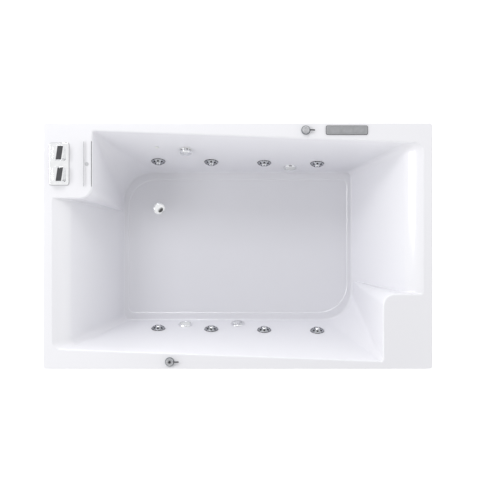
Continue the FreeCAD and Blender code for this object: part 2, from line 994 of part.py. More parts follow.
def make_suction_cover():
    profile = [
        ("0", "cover_height - cover_skin"),
        ("cover_radius - 3 * cover_skin", "cover_height - 2 * cover_skin"),
        ("cover_radius - cover_skin", "0"),
        ("cover_radius", "0"),
        ("cover_radius", "cover_skin"),
        ("cover_radius - 3 * cover_skin", "cover_height - cover_skin / 2"),
        ("0", "cover_height"),
    ]
    body = turned("suction_cover_body", profile)
    near = "cover_radius * 0.35"
    far = "cover_radius * 0.72"
    half = "slot_width / 2"
    corners = [(near, f"-{half}"), (far, f"-{half}"), (far, half), (near, half)]
    slot = polygon_sketch(body, "XY_Plane", "suction_slot", corners)
    cut = pocket(body, slot, None)
    ring_of(body, cut, slot, "slot_count")
    keep("suction_cover", body, side_seat(0, size("suction_drop"), -1))


def make_overflow():
    seat = side_seat(-size("overflow_place"), size("overflow_drop"), 1)
    wall = wall_depth(seat)
    depth = wall + size("overflow_body_depth")
    radius = size("overflow_body_radius")
    body = axial(size("flange_radius"), 0, size("flange_height"), seat)
    body = body.fuse(axial(radius, -depth, 0, seat))
    body = body.fuse(axial(size("jet_nut_radius"), -wall - size("jet_nut_height"), -wall, seat))
    stem = size("knob_stem_radius")
    body = body.cut(axial(stem + size("running_gap"), -depth / 2, size("flange_height"), seat))
    feature("overflow_body", body.fuse(overflow_ports()))
    profile = [
        ("0", "-wall_run - jet_nut_height"),
        ("knob_stem_radius", "-wall_run - jet_nut_height"),
        ("knob_stem_radius", "knob_stand"),
        ("knob_radius", "knob_stand"),
        ("knob_radius", "knob_stand + knob_height * 0.6"),
        ("knob_radius * 0.8", "knob_stand + knob_height"),
        ("0", "knob_stand + knob_height"),
    ]
    keep("overflow_knob", turned("overflow_knob_body", profile), seat)


def overflow_axis_end():
    seat = side_seat(-size("overflow_place"), size("overflow_drop"), 1)
    axis = seat.Rotation.multVec(UP)
    depth = wall_depth(seat) + size("overflow_body_depth")
    return seat.Base - axis * depth


def hose_side():
    """How far out the overflow hose drops, outside the pressure pipe."""
    return pipe_side() + size("pipe_radius") + size("pipe_gap") + size("overflow_hose_radius")


def overflow_ports():
    """Elbow for the overflow hose and the gland of the release cable."""
    top = hose_top()
    radius = size("overflow_hose_radius")
    end = overflow_axis_end()
    elbow = Vector(top.x, top.y, end.z)
    arm = post(radius, Vector(end.x, end.y - radius, end.z), ACROSS, top.y - end.y + radius)
    neck = post(radius, top, UP, elbow.z - top.z)
    gland = post(2 * size("cable_radius"), cable_top() - ACROSS * radius, ACROSS, radius)
    return [Part.makeSphere(radius, elbow), arm, neck, gland]


def hose_top():
    end = overflow_axis_end()
    return Vector(end.x, hose_side(), end.z - size("overflow_body_radius"))


def cable_top():
    """End of the release cable's gland, beside the hose's elbow."""
    end = overflow_axis_end()
    aside = size("overflow_hose_radius") + 2 * size("cable_radius") + size("seat_gap") * 2
    return Vector(end.x + aside, end.y + size("pipe_gap"), end.z)


def make_sensor():
    seat = side_seat(-size("sensor_place"), size("sensor_drop"), 1)
    wall = wall_depth(seat)
    cap = axial(size("sensor_radius") * 1.4, 0, size("flange_height"), seat)
    stem = axial(size("sensor_radius"), -wall - size("jet_nut_height") * 2, 0, seat)
    nut = axial(size("sensor_radius") * 1.6, -wall - size("jet_nut_height"), -wall, seat)
    feature("level_sensor", cap.fuse([stem, nut]))


# ---------------------------------------------------------------- waste


def trap_top():
    return board_bottom() - size("seat_gap") * 2


def make_waste_flange():
    """Flange, tail tube and the bridge that guides the plug's stem."""
    bore = "(waste_tube_radius - waste_tube_wall)"
    tail = "-(floor_skin + board_thickness + trap_drop)"
    profile = [
        (bore, tail),
        ("waste_tube_radius", tail),
        ("waste_tube_radius", "0"),
        ("waste_radius", "0"),
        ("waste_radius", "waste_tube_wall"),
        (bore, "waste_tube_wall / 2"),
    ]
    tube = turned("waste_tube", profile)
    reach = size("waste_tube_radius") - size("waste_tube_wall") / 2
    base = Vector(-reach, -2 * size("plug_stem_radius"), -size("board_thickness"))
    bridge = primitive(
        "Box", "waste_bridge", Placement(base, Rotation()),
        Length="waste_tube_radius * 2 - waste_tube_wall", Width="plug_stem_radius * 4", Height="floor_skin")
    hole = primitive(
        "Cylinder", "waste_guide", Placement(UP * -2 * size("board_thickness"), Rotation()),
        Radius="plug_stem_radius + running_gap", Height="board_thickness * 2")
    flange = cut_from("waste_flange", fused("waste_flange", tube, bridge), hole)
    keep("waste_flange", flange, Placement(waste_spot(), Rotation()))


def make_waste_plug():
    low = "(waste_tube_wall + seat_gap)"
    stem = "-(board_thickness + plug_lift + floor_skin)"
    profile = [
        ("0", stem),
        ("plug_stem_radius", stem),
        ("plug_stem_radius", low),
        ("plug_radius", low),
        ("plug_radius", f"{low} + plug_dome / 3"),
        ("plug_radius * 0.6", f"{low} + plug_dome * 0.85"),
        ("0", f"{low} + plug_dome"),
    ]
    keep("waste_plug", turned("waste_plug_body", profile), Placement(waste_spot(), Rotation()))


def hose_heading():
    """Level direction from the trap to the foot of the overflow hose."""
    heading = hose_top() - waste_spot()
    heading.z = 0
    return heading.normalize()


def trap_ports():
    """Drain outlet at -X, overflow inlet and cable gland."""
    level = drain_level()
    centre = Vector(waste_spot().x, waste_spot().y, level)
    outlet = post(size("drain_pipe_radius"), centre, -ALONG, drain_collar_reach() + size("drain_pipe_reach"))
    collar = post(size("drain_pipe_radius") + size("trap_wall"), centre, -ALONG, drain_collar_reach())
    inlet = post(size("overflow_hose_radius"), centre, hose_heading(), inlet_reach())
    gland = post(size("cable_radius") * 2, centre, cable_heading(), inlet_reach())
    return [outlet, collar, inlet, gland]


def drain_collar_reach():
    """From the trap's axis to the flat face that stops the drain pipe's socket."""
    return size("trap_radius") + size("trap_wall")


def drain_level():
    return board_bottom() - size("trap_depth")


def inlet_reach():
    return size("trap_radius") * 1.5


def cable_heading():
    return Rotation(UP, -32).multVec(hose_heading())


def make_trap():
    spot = waste_spot()
    top = trap_top()
    bottom = drain_level() - size("drain_pipe_radius") - size("trap_wall")
    neck = size("waste_tube_radius") + size("seat_gap")
    wall = size("trap_wall")
    shoulder = spot.z - size("floor_skin") - size("board_thickness") - size("trap_drop") * 1.3
    base = Vector(spot.x, spot.y, bottom)
    body = post(size("trap_radius"), base, UP, shoulder - bottom)
    body = body.fuse(post(neck + wall, Vector(spot.x, spot.y, shoulder), UP, top - shoulder))
    body = body.fuse(trap_ports())
    inside = post(size("trap_radius") - wall, base + UP * wall, UP, shoulder - bottom - 2 * wall)
    mouth = post(neck, Vector(spot.x, spot.y, shoulder - 2 * wall), UP, top - shoulder + 3 * wall)
    bore = size("drain_pipe_radius") - wall
    centre = Vector(spot.x, spot.y, drain_level())
    outlet = post(bore, centre, -ALONG, size("trap_radius") * 2 + size("drain_pipe_reach"))
    feature("waste_trap", body.cut([inside, mouth, outlet]))


# ---------------------------------------------------------------- routed tubes


def route_wire(points, bend):
    """Straight runs joined by tangent arcs, as large as the runs leave room for."""
    edges = []
    start = points[0]
    radii = []
    for index in range(1, len(points) - 1):
        corner = points[index]
        before = points[index - 1] - corner
        after = points[index + 1] - corner
        half = before.getAngle(after) / 2
        reach = min(before.Length, after.Length) * 0.45
        radius = min(bend, reach * math.tan(half))
        setback = radius / math.tan(half)
        to_start = Vector(before).normalize()
        to_end = Vector(after).normalize()
        middle = corner + (to_start + to_end).normalize() * (radius / math.sin(half) - radius)
        edges.append(Part.LineSegment(start, corner + to_start * setback).toShape())
        edges.append(Part.Arc(corner + to_start * setback, middle, corner + to_end * setback).toShape())
        start = corner + to_end * setback
        radii.append(radius)
    edges.append(Part.LineSegment(start, points[-1]).toShape())
    return Part.Wire(edges), radii


def rod(points, radius, bend):
    """A solid round bar along a route."""
    wire, radii = route_wire(points, bend)
    first = (points[1] - points[0]).normalize()
    section = Part.Wire([Part.Circle(points[0], first, radius).toShape()])
    solid = wire.makePipeShell([section], True, False)
    expected = math.pi * radius ** 2 * wire.Length
    if abs(solid.Volume / expected - 1) > 0.01 or min(radii, default=bend) < radius:
        raise ValueError(f"route bends too tightly for its tube: {radii}")
    return solid


def tube(points, radius, wall, bend):
    return rod(points, radius, bend).cut(rod(points, radius - wall, bend))


def pressure_route():
    """From the last jet on the -Y side, round the pump end, to the last jet on the +Y side."""
    start = -1.7 * size("jet_spacing")
    y = pipe_side()
    x = pump_x()
    level = size("pipe_level")
    return [Vector(start, -y, level), Vector(x, -y, level), Vector(x, y, level), Vector(start, y, level)]


def pump_outlet():
    """Centre of the volute's outlet, at the middle of its cavity."""
    back = size("pump_face_side") + size("volute_width") / 2
    return Vector(pump_x(), -back, pump_level() + size("volute_radius"))


def collars(radius, level, pipe_radius, upwards):
    """Sockets for the jets' nipples on both side pipes."""
    wall = size("collar_wall")
    length = size("collar_length")
    outer = []
    inner = []
    for place in nipple_places():
        for side in (1, -1):
            centre = Vector(place * side, pipe_side() * side, level)
            axis = UP * upwards
            outer.append(post(radius + wall, centre, axis, pipe_radius + length))
            inner.append(post(radius + size("seat_gap"), centre, axis, pipe_radius + length + 1))
    return outer, inner


def capped_ends(points, radius):
    first = (points[0] - points[1]).normalize()
    last = (points[-1] - points[-2]).normalize()
    cap = size("pipe_wall") * 2
    return [post(radius, points[0], first, cap), post(radius, points[-1], last, cap)]


def seat_drop():
    """How far the volute's round flank falls away across the pressure pipe's foot."""
    flank = size("volute_radius")
    return flank - math.sqrt(flank ** 2 - size("pipe_radius") ** 2)


def pressure_pipe():
    points = pressure_route()
    radius = size("pipe_radius")
    bend = size("pipe_bend")
    outer, inner = collars(size("water_nipple_radius"), size("pipe_level"), radius, -1)
    outlet = pump_outlet()
    rise_length = size("pipe_level") - outlet.z
    outer.append(post(radius, outlet - UP * seat_drop(), UP, rise_length + seat_drop()))
    inner.append(post(radius - size("pipe_wall"), outlet - UP * radius, UP, rise_length + radius))
    solid = rod(points, radius, bend).fuse(outer + capped_ends(points, radius))
    drum = Vector(outlet.x, outlet.y - size("volute_width"), pump_level())
    flank = post(size("volute_radius") + size("seat_gap"), drum, ACROSS, 2 * size("volute_width"))
    return solid.cut([rod(points, radius - size("pipe_wall"), bend), flank] + inner)


def suction_centre():
    seat = side_seat(0, size("suction_drop"), -1)
    back = wall_depth(seat) + size("suction_chamber_depth") / 2 + size("nut_height") / 2
    return seat.Base - seat.Rotation.multVec(UP) * back


def pump_inlet():
    y = -(size("pump_face_side") + size("volute_width") + size("suction_stub"))
    return Vector(pump_x(), y, pump_level())


def suction_route():
    start = suction_centre()
    inlet = pump_inlet()
    out = inlet - ACROSS * size("pipe_bend")
    turn = Vector(end_wall_x(foot_level()) + size("pipe_bend"), out.y, out.z)
    step = abs(out.y - start.y)
    return [start, Vector(turn.x - step, start.y, start.z), turn, out, inlet]


def suction_line():
    """Wall fitting of the suction and its pipe to the pump."""
    seat = side_seat(0, size("suction_drop"), -1)
    wall = wall_depth(seat)
    gap = size("seat_gap")
    depth = wall + size("suction_chamber_depth")
    chamber = axial(size("suction_chamber_radius"), -depth, -gap, seat)
    flank = size("suction_chamber_radius") + size("nut_height")
    nut = axial(flank, -wall - size("jet_nut_height"), -wall, seat)
    points = suction_route()
    radius = size("suction_pipe_radius")
    outer = rod(points, radius, size("pipe_bend"))
    inner = rod(points, radius - size("pipe_wall"), size("pipe_bend"))
    hollow = axial(size("suction_chamber_radius") - size("collar_wall"), -depth + wall, 1, seat)
    return outer.fuse([chamber, nut]).cut([inner, hollow])


def make_water_pipes():
    feature("water_pipes", Part.makeCompound([pressure_pipe(), suction_line()]))


def air_riser(spot):
    """Riser from an air valve to the air pipe on the same side."""
    top = size("rim_level") - size("air_body_length")
    level = air_pipe_level()
    y = math.copysign(pipe_side(), spot.y)
    return [Vector(spot.x, spot.y, top), Vector(spot.x, spot.y, level), Vector(spot.x, y, level)]


def make_air_pipes():
    radius = size("air_pipe_radius")
    wall = size("pipe_wall") / 2
    level = air_pipe_level()
    reach = 1.6 * size("jet_spacing")
    outer, inner = collars(size("air_nipple_radius"), level, radius, 1)
    solids = []
    for spot in air_spots():
        side = math.copysign(1, spot.y)
        start = Vector(-reach, side * pipe_side(), level)
        near = [post_ for post_ in outer if post_.BoundBox.Center.y * side > 0]
        bores = [post_ for post_ in inner if post_.BoundBox.Center.y * side > 0]
        riser = air_riser(spot)
        run = post(radius, start, ALONG, 2 * reach)
        tee = post(radius + wall, riser[-1] - ALONG * 2 * radius, ALONG, 4 * radius)
        bend = size("pipe_bend") / 2
        solid = run.fuse([tee, rod(riser, size("air_riser_radius"), bend)] + near)
        hollow = post(radius - wall, start + ALONG * wall, ALONG, 2 * (reach - wall))
        bore = rod(riser, size("air_riser_radius") - wall, bend)
        solids.append(solid.cut([hollow, bore] + bores))
    feature("air_pipes", Part.makeCompound(solids))


def make_overflow_hose():
    top = hose_top()
    level = drain_level()
    end = Vector(waste_spot().x, waste_spot().y, level) + hose_heading() * inlet_reach()
    points = [top, Vector(top.x, top.y, level), end]
    feature("overflow_hose", tube(points, size("overflow_hose_radius"), size("hose_wall"), size("pipe_bend")))


def make_release_cable():
    """Bowden cable from the overflow knob's gland to the trap's gland."""
    top = cable_top()
    level = drain_level()
    end = Vector(waste_spot().x, waste_spot().y, level) + cable_heading() * inlet_reach()
    bend = size("pipe_bend")
    x = top.x + bend / 3
    y = top.y + bend * 0.6
    points = [
        top,
        Vector(top.x, y, top.z),
        Vector(x, y, top.z - bend),
        Vector(x, y, level + bend),
        Vector(x, y - bend, level),
        end + cable_heading() * bend,
        end,
    ]
    feature("release_cable", rod(points, size("cable_radius"), bend))


# ---------------------------------------------------------------- deck fittings


def make_mixer():
    spot = mixer_spot()
    plate = rounded_block("mixer_plate_body", "plate_width", "plate_length", "plate_height", "plate_corner")
    tools = []
    for index, handle in enumerate(handle_spots()):
        base = Placement(handle - spot - UP, Rotation())
        tools.append(primitive(
            "Cylinder", f"mixer_hole{index}", base,
            Radius="knob_stem_radius + seat_gap", Height="plate_height * 2"))
    keep("mixer_plate", cut_from("mixer_plate", plate, *tools), Placement(spot, Rotation()))
    for name, handle in zip(("a", "b"), handle_spots()):
        make_handle(name, handle + UP * size("plate_height"))
    make_valve(spot)


def make_handle(name, spot):
    body = rounded_block(
        f"mixer_handle_{name}_body", "handle_width", "handle_length", "handle_height", "handle_corner")
    stem = primitive(
        "Cylinder", f"mixer_stem_{name}", Placement(UP * -stem_drop(), Rotation()),
        Radius="knob_stem_radius", Height="plate_height + rim_skin + valve_height / 2 + seat_gap * 2")
    top = Placement(spot + UP * size("seat_gap"), Rotation())
    keep(f"mixer_handle_{name}", fused(f"mixer_handle_{name}", body, stem), top)


def stem_drop():
    return size("plate_height") + size("rim_skin") + size("valve_height") / 2 + size("seat_gap")


def make_valve(spot):
    """Valve bar under the deck with two inlets below and the outlet towards the spout."""
    width = size("valve_width")
    height = size("valve_height")
    length = size("valve_length")
    top = spot.z - size("rim_skin")
    bar = Part.makeBox(width, length, height, Vector(spot.x - width / 2, spot.y - length / 2, top - height))
    parts = []
    bores = []
    for handle in handle_spots():
        base = Vector(handle.x, handle.y, top - height - size("inlet_length"))
        parts.append(post(size("inlet_radius"), base, UP, size("inlet_length")))
        stem = Vector(handle.x, handle.y, top - height / 2 - 1)
        bores.append(post(size("knob_stem_radius") + size("running_gap"), stem, UP, height))
        bores.append(post(size("inlet_radius") * 0.7, base, UP, size("inlet_length") + height / 4))
    feature("mixer_valve", bar.fuse(parts).cut(bores))


def make_spout():
    """Waterfall spout: a low blade with a wide slot in its front."""
    body = padded("spout_body", rectangle("spout_width", "spout_length"), "spout_height")
    back = []
    for index, edge in enumerate(body.Shape.Edges, start=1):
        low, high = edge.Vertexes[0].Point, edge.Vertexes[-1].Point
        upright = abs((high - low).z) > abs((high - low).x) + abs((high - low).y)
        if upright and low.x < 0:
            back.append(f"Edge{index}")
    round_edges(body, back, "spout_corner")
    slot = Vector(size("spout_width") / 2 - size("spout_slot_depth"), -size("spout_slot_length") / 2,
                  size("spout_height") / 2 - size("spout_slot_height") / 2)
    opening = primitive(
        "Box", "spout_slot", Placement(slot, Rotation()),
        Length="spout_slot_depth * 2", Width="spout_slot_length", Height="spout_slot_height")
    inlet = primitive(
        "Cylinder", "spout_inlet", Placement(UP * -size("filler_radius"), Rotation()),
        Radius="filler_radius * 0.7", Height="spout_height / 2 + filler_radius")
    tail = primitive(
        "Cylinder", "spout_tail", Placement(UP * -size("rim_skin") * 2, Rotation()),
        Radius="filler_radius", Height="rim_skin * 2")
    base = cut_from("waterfall_spout", fused("waterfall_spout", body, tail), opening, inlet)
    keep("waterfall_spout", base, Placement(spout_spot(), Rotation()))


def make_filler_hose():
    """Short hose from the valve bar to the spout's tail."""
    spout = spout_spot() - UP * 2 * size("rim_skin")
    level = size("rim_level") - size("rim_skin") - size("valve_height") / 2
    start = Vector(mixer_spot().x + size("valve_width") / 2, size("mixer_side"), level)
    bend = size("pipe_bend") / 3
    gap = (spout.x - start.x) / 3
    low = Vector(spout.x, spout.y, level - bend)
    points = [start, start + ALONG * gap, low - ALONG * gap, low, spout]
    feature("filler_hose", tube(points, size("filler_radius"), size("hose_wall"), bend))


def key_spots():
    first = -(size("key_count") - 1) / 2
    pitch = size("key_pitch")
    return [keypad_spot() + ALONG * pitch * (first + step) for step in range(int(size("key_count")))]


def make_keypad():
    spot = keypad_spot()
    frame = rounded_block("keypad_body", "keypad_length", "keypad_width", "keypad_height", "keypad_corner")
    tools = []
    floor = size("keypad_height") + size("key_rise") - key_height()
    for index, key in enumerate(key_spots()):
        half = Vector(size("key_length") / 2, size("key_width") / 2, size("key_travel"))
        gap = Vector(1, 1, 1) * size("seat_gap")
        corner = key - spot + UP * floor - half - gap
        tools.append(primitive(
            "Box", f"key_well{index}", Placement(corner, Rotation()),
            Length="key_length + 2 * seat_gap", Width="key_width + 2 * seat_gap", Height="keypad_height * 2"))
    stem = primitive(
        "Cylinder", "keypad_stem", Placement(UP * -2 * size("rim_skin"), Rotation()),
        Radius="lead_radius", Height="rim_skin * 2")
    body = fused("keypad_frame", cut_from("keypad_wells", frame, *tools), stem)
    keep("keypad_frame", body, Placement(spot, Rotation()))
    for index, key in enumerate(key_spots(), start=1):
        cap = rounded_block(
            f"key_{index}_body", "key_length", "key_width", "keypad_height / 2", "key_corner")
        keep(f"keypad_key_{index}", cap, Placement(key + UP * floor, Rotation()))


def key_height():
    return size("keypad_height") / 2


def make_air_controls():
    bodies = []
    for index, spot in enumerate(air_spots(), start=1):
        rim = spot + UP * size("rim_level")
        flange = post(size("air_flange_radius"), rim, UP, size("air_flange_height"))
        stem = post(size("air_body_radius"), rim - UP * size("air_body_length"), UP, size("air_body_length"))
        nut_base = rim - UP * (size("rim_skin") + size("nut_height"))
        nut = post(size("air_flange_radius"), nut_base, UP, size("nut_height"))
        hole = post(size("knob_stem_radius") + size("running_gap"), rim - UP * size("rim_skin"), UP,
                    size("rim_skin") + size("air_flange_height") + 1)
        bodies.append(flange.fuse([stem, nut]).cut(hole))
        make_air_knob(index, rim + UP * size("air_flange_height"))
    feature("air_valves", Part.makeCompound(bodies))


def make_air_knob(index, spot):
    profile = [
        ("0", "-rim_skin"),
        ("knob_stem_radius", "-rim_skin"),
        ("knob_stem_radius", "seat_gap"),
        ("air_knob_radius", "seat_gap"),
        ("air_knob_radius", "air_knob_height * 0.8"),
        ("air_knob_radius * 0.85", "air_knob_height"),
        ("0", "air_knob_height"),
    ]
    knob = turned(f"air_knob_{index}_body", profile)
    level = size("air_knob_height") / 2
    pin = primitive(
        "Cylinder", f"air_lever_{index}", along_x(Vector(size("air_knob_radius") / 2, 0, level)),
        Radius="lever_radius", Height="lever_reach - air_knob_radius / 2")
    keep(f"air_knob_{index}", fused(f"air_knob_{index}", knob, pin), Placement(spot, Rotation()))


# ---------------------------------------------------------------- pump and control box


def pump_frame():
    """Pump axis along +Y, from the joint between the volute and the motor."""
    return Placement(Vector(pump_x(), -size("pump_face_side"), pump_level()), Rotation(ALONG, -90))


def terminal_box():
    """Wiring box on the motor's back."""
    width = size("terminal_width")
    depth = size("pump_radius") + size("terminal_height")
    corner = Vector(pump_x() - width / 2, terminal_end().y - size("terminal_length"), pump_level())
    return Part.makeBox(width, size("terminal_length"), depth, corner)


def terminal_end():
    y = -size("pump_face_side") + size("motor_length") * 0.6
    return Vector(pump_x(), y, pump_level() + size("pump_radius") + size("terminal_height") / 2)


def make_motor():
    cover = "(motor_length - fan_cover)"
    profile = [
        ("shaft_radius + running_gap", "0"),
        ("pump_radius", "0"),
        ("pump_radius", "motor_length"),
        ("nozzle_radius * 2", "motor_length"),
        ("nozzle_radius * 2", "motor_length - end_shield / 4"),
        ("pump_radius - end_shield / 2", "motor_length - end_shield / 4"),
        ("pump_radius - end_shield / 2", cover),
        ("shaft_radius + running_gap", cover),
        ("shaft_radius + running_gap", f"{cover} - end_shield"),
        ("rotor_radius + end_shield / 4", f"{cover} - end_shield"),
        ("rotor_radius + end_shield / 4", "end_shield"),
        ("shaft_radius + running_gap", "end_shield"),
    ]
    casing = turned("motor_casing", profile)
    casing.Placement = pump_frame()
    width = size("pump_radius")
    length = size("motor_length") * 0.6
    corner = Vector(pump_x() - width / 2, -size("pump_face_side") + size("end_shield"), board_bottom())
    stand = Part.makeBox(width, length, size("pump_radius"), corner)
    drum = post(size("pump_radius") - size("end_shield") / 2, Vector(pump_x(), corner.y - 1, pump_level()),
                ACROSS, length + 2)
    shape = casing.Shape.fuse([stand.cut(drum), terminal_box().cut(drum)])
    feature("pump_motor", shape.removeSplitter())


def make_volute():
    back = "-volute_width"
    near = "-(volute_width - volute_cavity_width) / 2"
    far = "-(volute_width + volute_cavity_width) / 2"
    bore = "(suction_pipe_radius - pipe_wall)"
    profile = [
        ("shaft_radius + running_gap", "0"),
        ("shaft_radius + running_gap", near),
        ("volute_cavity_radius", near),
        ("volute_cavity_radius", far),
        (bore, far),
        (bore, f"{back} - suction_stub"),
        ("suction_pipe_radius", f"{back} - suction_stub"),
        ("suction_pipe_radius", back),
        ("volute_radius", back),
        ("volute_radius", "0"),
    ]
    scroll = turned("volute_scroll", profile)
    scroll.Placement = pump_frame()
    outlet = pump_outlet()
    depth = size("volute_radius") - size("volute_cavity_radius") + size("volute_cavity_width") / 2
    bore = post(size("pipe_radius") - size("pipe_wall"), outlet - UP * depth, UP, depth + 1)
    feature("pump_volute", scroll.Shape.cut(bore))


def make_rotor():
    """Impeller, shaft, rotor core and cooling fan, turning together."""
    cover = "(motor_length - fan_cover)"
    middle = "-volute_width / 2"
    core = "(motor_length - fan_cover) / 2"
    profile = [
        ("0", f"{middle} - impeller_width / 2"),
        ("impeller_radius", f"{middle} - impeller_width / 2"),
        ("impeller_radius", f"{middle} + impeller_width / 2"),
        ("shaft_radius", f"{middle} + impeller_width / 2"),
        ("shaft_radius", f"{core} - rotor_length / 2"),
        ("rotor_radius", f"{core} - rotor_length / 2"),
        ("rotor_radius", f"{core} + rotor_length / 2"),
        ("shaft_radius", f"{core} + rotor_length / 2"),
        ("shaft_radius", f"{cover} + fan_width"),
        ("fan_radius", f"{cover} + fan_width"),
        ("fan_radius", f"{cover} + fan_width * 2"),
        ("0", f"{cover} + fan_width * 2"),
    ]
    keep("pump_rotor", turned("pump_rotor_body", profile), pump_frame())


def box_spot():
    return Vector(pump_x(), size("tub_width") / 2 - size("box_inset"), board_bottom())


def make_control_box():
    """Control box with the gland for its supply on the end away from the pump."""
    body = rounded_block("control_box_body", "box_width", "box_length", "box_height", "box_corner")
    end = Vector(0, size("box_length") / 2, size("box_height") / 3)
    gland = primitive(
        "Cylinder", "supply_gland", along_y(end),
        Radius="gland_radius + collar_wall", Height="gland_length")
    bore = primitive(
        "Cylinder", "supply_bore", along_y(end),
        Radius="gland_radius", Height="gland_length + collar_wall")
    shape = cut_from("control_box", fused("control_box", body, gland), bore)
    keep("control_box", shape, Placement(box_spot(), Rotation()))


def keypad_lead():
    box = box_spot()
    bend = size("pipe_bend")
    pad = keypad_spot() - UP * 2 * size("rim_skin")
    x = box.x + size("box_width") / 3
    top = box.z + size("box_height")
    return [
        pad,
        pad - UP * 2 * bend,
        Vector(x, pad.y, top + 3 * bend),
        Vector(x, pad.y - bend / 3, top + bend),
        Vector(x, box.y + size("box_length") / 3, top + bend),
        Vector(x, box.y + size("box_length") / 3, top),
    ]


def motor_lead():
    box = box_spot()
    start = terminal_end()
    entry = Vector(box.x, box.y - size("box_length") / 2, box.z + size("box_height") * 0.7)
    gap = size("pipe_bend")
    clear = Vector(start.x, gap / 2 - size("pump_face_side") + size("motor_length"), start.z)
    return [start, clear, entry - ACROSS * gap, entry]


def lamp_leads():
    """From both lamps along the foot of the walls to the side of the control box."""
    box = box_spot()
    bend = size("pipe_bend")
    side = box.x - size("box_width") / 2
    foot_x = end_wall_x(foot_level())
    x = (foot_x + size("wall_run") + side) / 2
    level = box.z + size("pump_gap")
    routes = []
    for seat in (light_seat(1), light_seat(-1)):
        start = lamp_back(seat) + ALONG * (size("lamp_radius") + size("nut_height"))
        routes.append([start, start + ALONG * bend])
    near, far = routes
    entry = box.y + size("box_length") / 4
    near += [Vector(foot_x, near[0].y, level + bend / 2), Vector(x, entry, level + bend / 2)]
    near += [Vector(side, entry, level + bend / 2)]
    y = far[0].y
    far += [Vector(far[0].x + 3 * bend, y, level), Vector(foot_x + bend / 2, y, level)]
    far += [Vector(x, y + 2 * bend, level), Vector(x, box.y, level)]
    far += [Vector(side, box.y, level)]
    return routes


def sensor_lead():
    box = box_spot()
    bend = size("pipe_bend")
    seat = side_seat(-size("sensor_place"), size("sensor_drop"), 1)
    out = -seat.Rotation.multVec(UP)
    start = seat.Base + out * (wall_depth(seat) + 2 * size("jet_nut_height"))
    y = size("tub_width") / 2 - size("rim_skin") * 2 - size("lead_radius")
    level = size("rim_level") - size("lip_drop") - 2 * size("rail_size")
    x = box.x + size("box_width") / 4
    top = box.z + size("box_height")
    return [
        start,
        start + out * bend / 2,
        Vector(start.x + 2 * bend, y, level),
        Vector(x - 2 * bend, y, level),
        Vector(x, y, top + 2 * bend),
        Vector(x, box.y + size("box_length") / 4, top + bend / 2),
        Vector(x, box.y + size("box_length") / 4, top),
    ]


def make_leads():
    """Leads of the keypad, the motor, the level sensor and both lamps."""
    routes = [keypad_lead(), motor_lead(), sensor_lead()] + lamp_leads()
    solids = [rod(points, size("lead_radius"), size("pipe_bend")) for points in routes]
    feature("control_leads", Part.makeCompound(solids))


# ---------------------------------------------------------------- build, check and write


def check(label, piece):
    if "Invalid" in piece.State or "Error" in piece.State:
        raise ValueError(f"{label}: {piece.State}")
    if piece.Shape.isNull() or not piece.Shape.isValid():
        raise ValueError(f"{label}: bad shape")
    if not piece.Shape.Solids:
        raise ValueError(f"{label}: no solid")


def main():
    make_shell()
    make_board()
    make_long_rails()
    make_cross_rails()
    make_feet()
    make_jet_faces()
    make_jet_bodies()
    make_lights()
    make_suction_cover()
    make_overflow()
    make_sensor()
    make_waste_flange()
    make_waste_plug()
    make_trap()
    make_overflow_hose()
    make_release_cable()
    make_mixer()
    make_spout()
    make_filler_hose()
    make_keypad()
    make_air_controls()
    make_motor()
    make_volute()
    make_rotor()
    make_water_pipes()
    make_air_pipes()
    make_control_box()
    make_leads()
    doc.recompute()
    for item in doc.Objects:
        if "Invalid" in item.State or "Error" in item.State:
            raise ValueError(f"{item.Name}: {item.State}")
    for label, piece in pieces.items():
        check(label, piece)
    os.makedirs("parts", exist_ok=True)
    for label, piece in pieces.items():
        piece.Shape.exportStep(f"parts/{label}.step")
        print(label, len(piece.Shape.Solids), round(piece.Shape.Volume / 1000, 1))


main()
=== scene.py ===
import json
from math import acos, atan, atan2, cos, exp, hypot, log, pi, radians, sin, tan

import bmesh
import bpy
from mathutils import Matrix, Vector


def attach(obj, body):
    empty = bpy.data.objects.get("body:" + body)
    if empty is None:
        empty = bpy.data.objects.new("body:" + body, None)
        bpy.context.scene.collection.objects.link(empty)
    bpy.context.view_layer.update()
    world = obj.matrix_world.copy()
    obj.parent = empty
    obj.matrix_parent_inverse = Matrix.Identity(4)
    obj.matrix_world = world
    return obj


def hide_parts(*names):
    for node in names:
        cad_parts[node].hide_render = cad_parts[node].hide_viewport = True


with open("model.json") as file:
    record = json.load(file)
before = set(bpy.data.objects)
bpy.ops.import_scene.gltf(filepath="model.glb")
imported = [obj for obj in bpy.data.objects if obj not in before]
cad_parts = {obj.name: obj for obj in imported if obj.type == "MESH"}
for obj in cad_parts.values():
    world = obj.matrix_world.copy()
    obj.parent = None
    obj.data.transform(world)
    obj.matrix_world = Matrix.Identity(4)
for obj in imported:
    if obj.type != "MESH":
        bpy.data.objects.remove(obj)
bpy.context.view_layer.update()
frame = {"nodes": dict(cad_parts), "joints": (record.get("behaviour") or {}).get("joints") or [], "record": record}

# A built-in two-person jetted bathtub. Dictionary values are millimetres and degrees,
# meshes are metres. +X runs along the tub, +Y across it, Z is up from the floor.
joints = {joint["name"]: joint for joint in frame["joints"]}
scene = bpy.context.scene
up = Vector((0, 0, 1))

# Camera: straight above the tub

viewSetup = {"height": 5800, "distance": 5200, "spanAtRim": 2439, "shiftX": 0.0245, "shiftY": -0.008}

cameraData = bpy.data.cameras.new("topCamera")
cameraData.sensor_width = 36
cameraData.lens = 36 * viewSetup["distance"] / viewSetup["spanAtRim"]
cameraData.shift_x = viewSetup["shiftX"]
cameraData.shift_y = viewSetup["shiftY"]
cameraData.clip_end = 60
camera = bpy.data.objects.new("topCamera", cameraData)
camera.location = (0, 0, viewSetup["height"] / 1000)
scene.collection.objects.link(camera)
scene.camera = camera
scene.view_settings.view_transform = "Standard"
print("camera set")

# Finishes


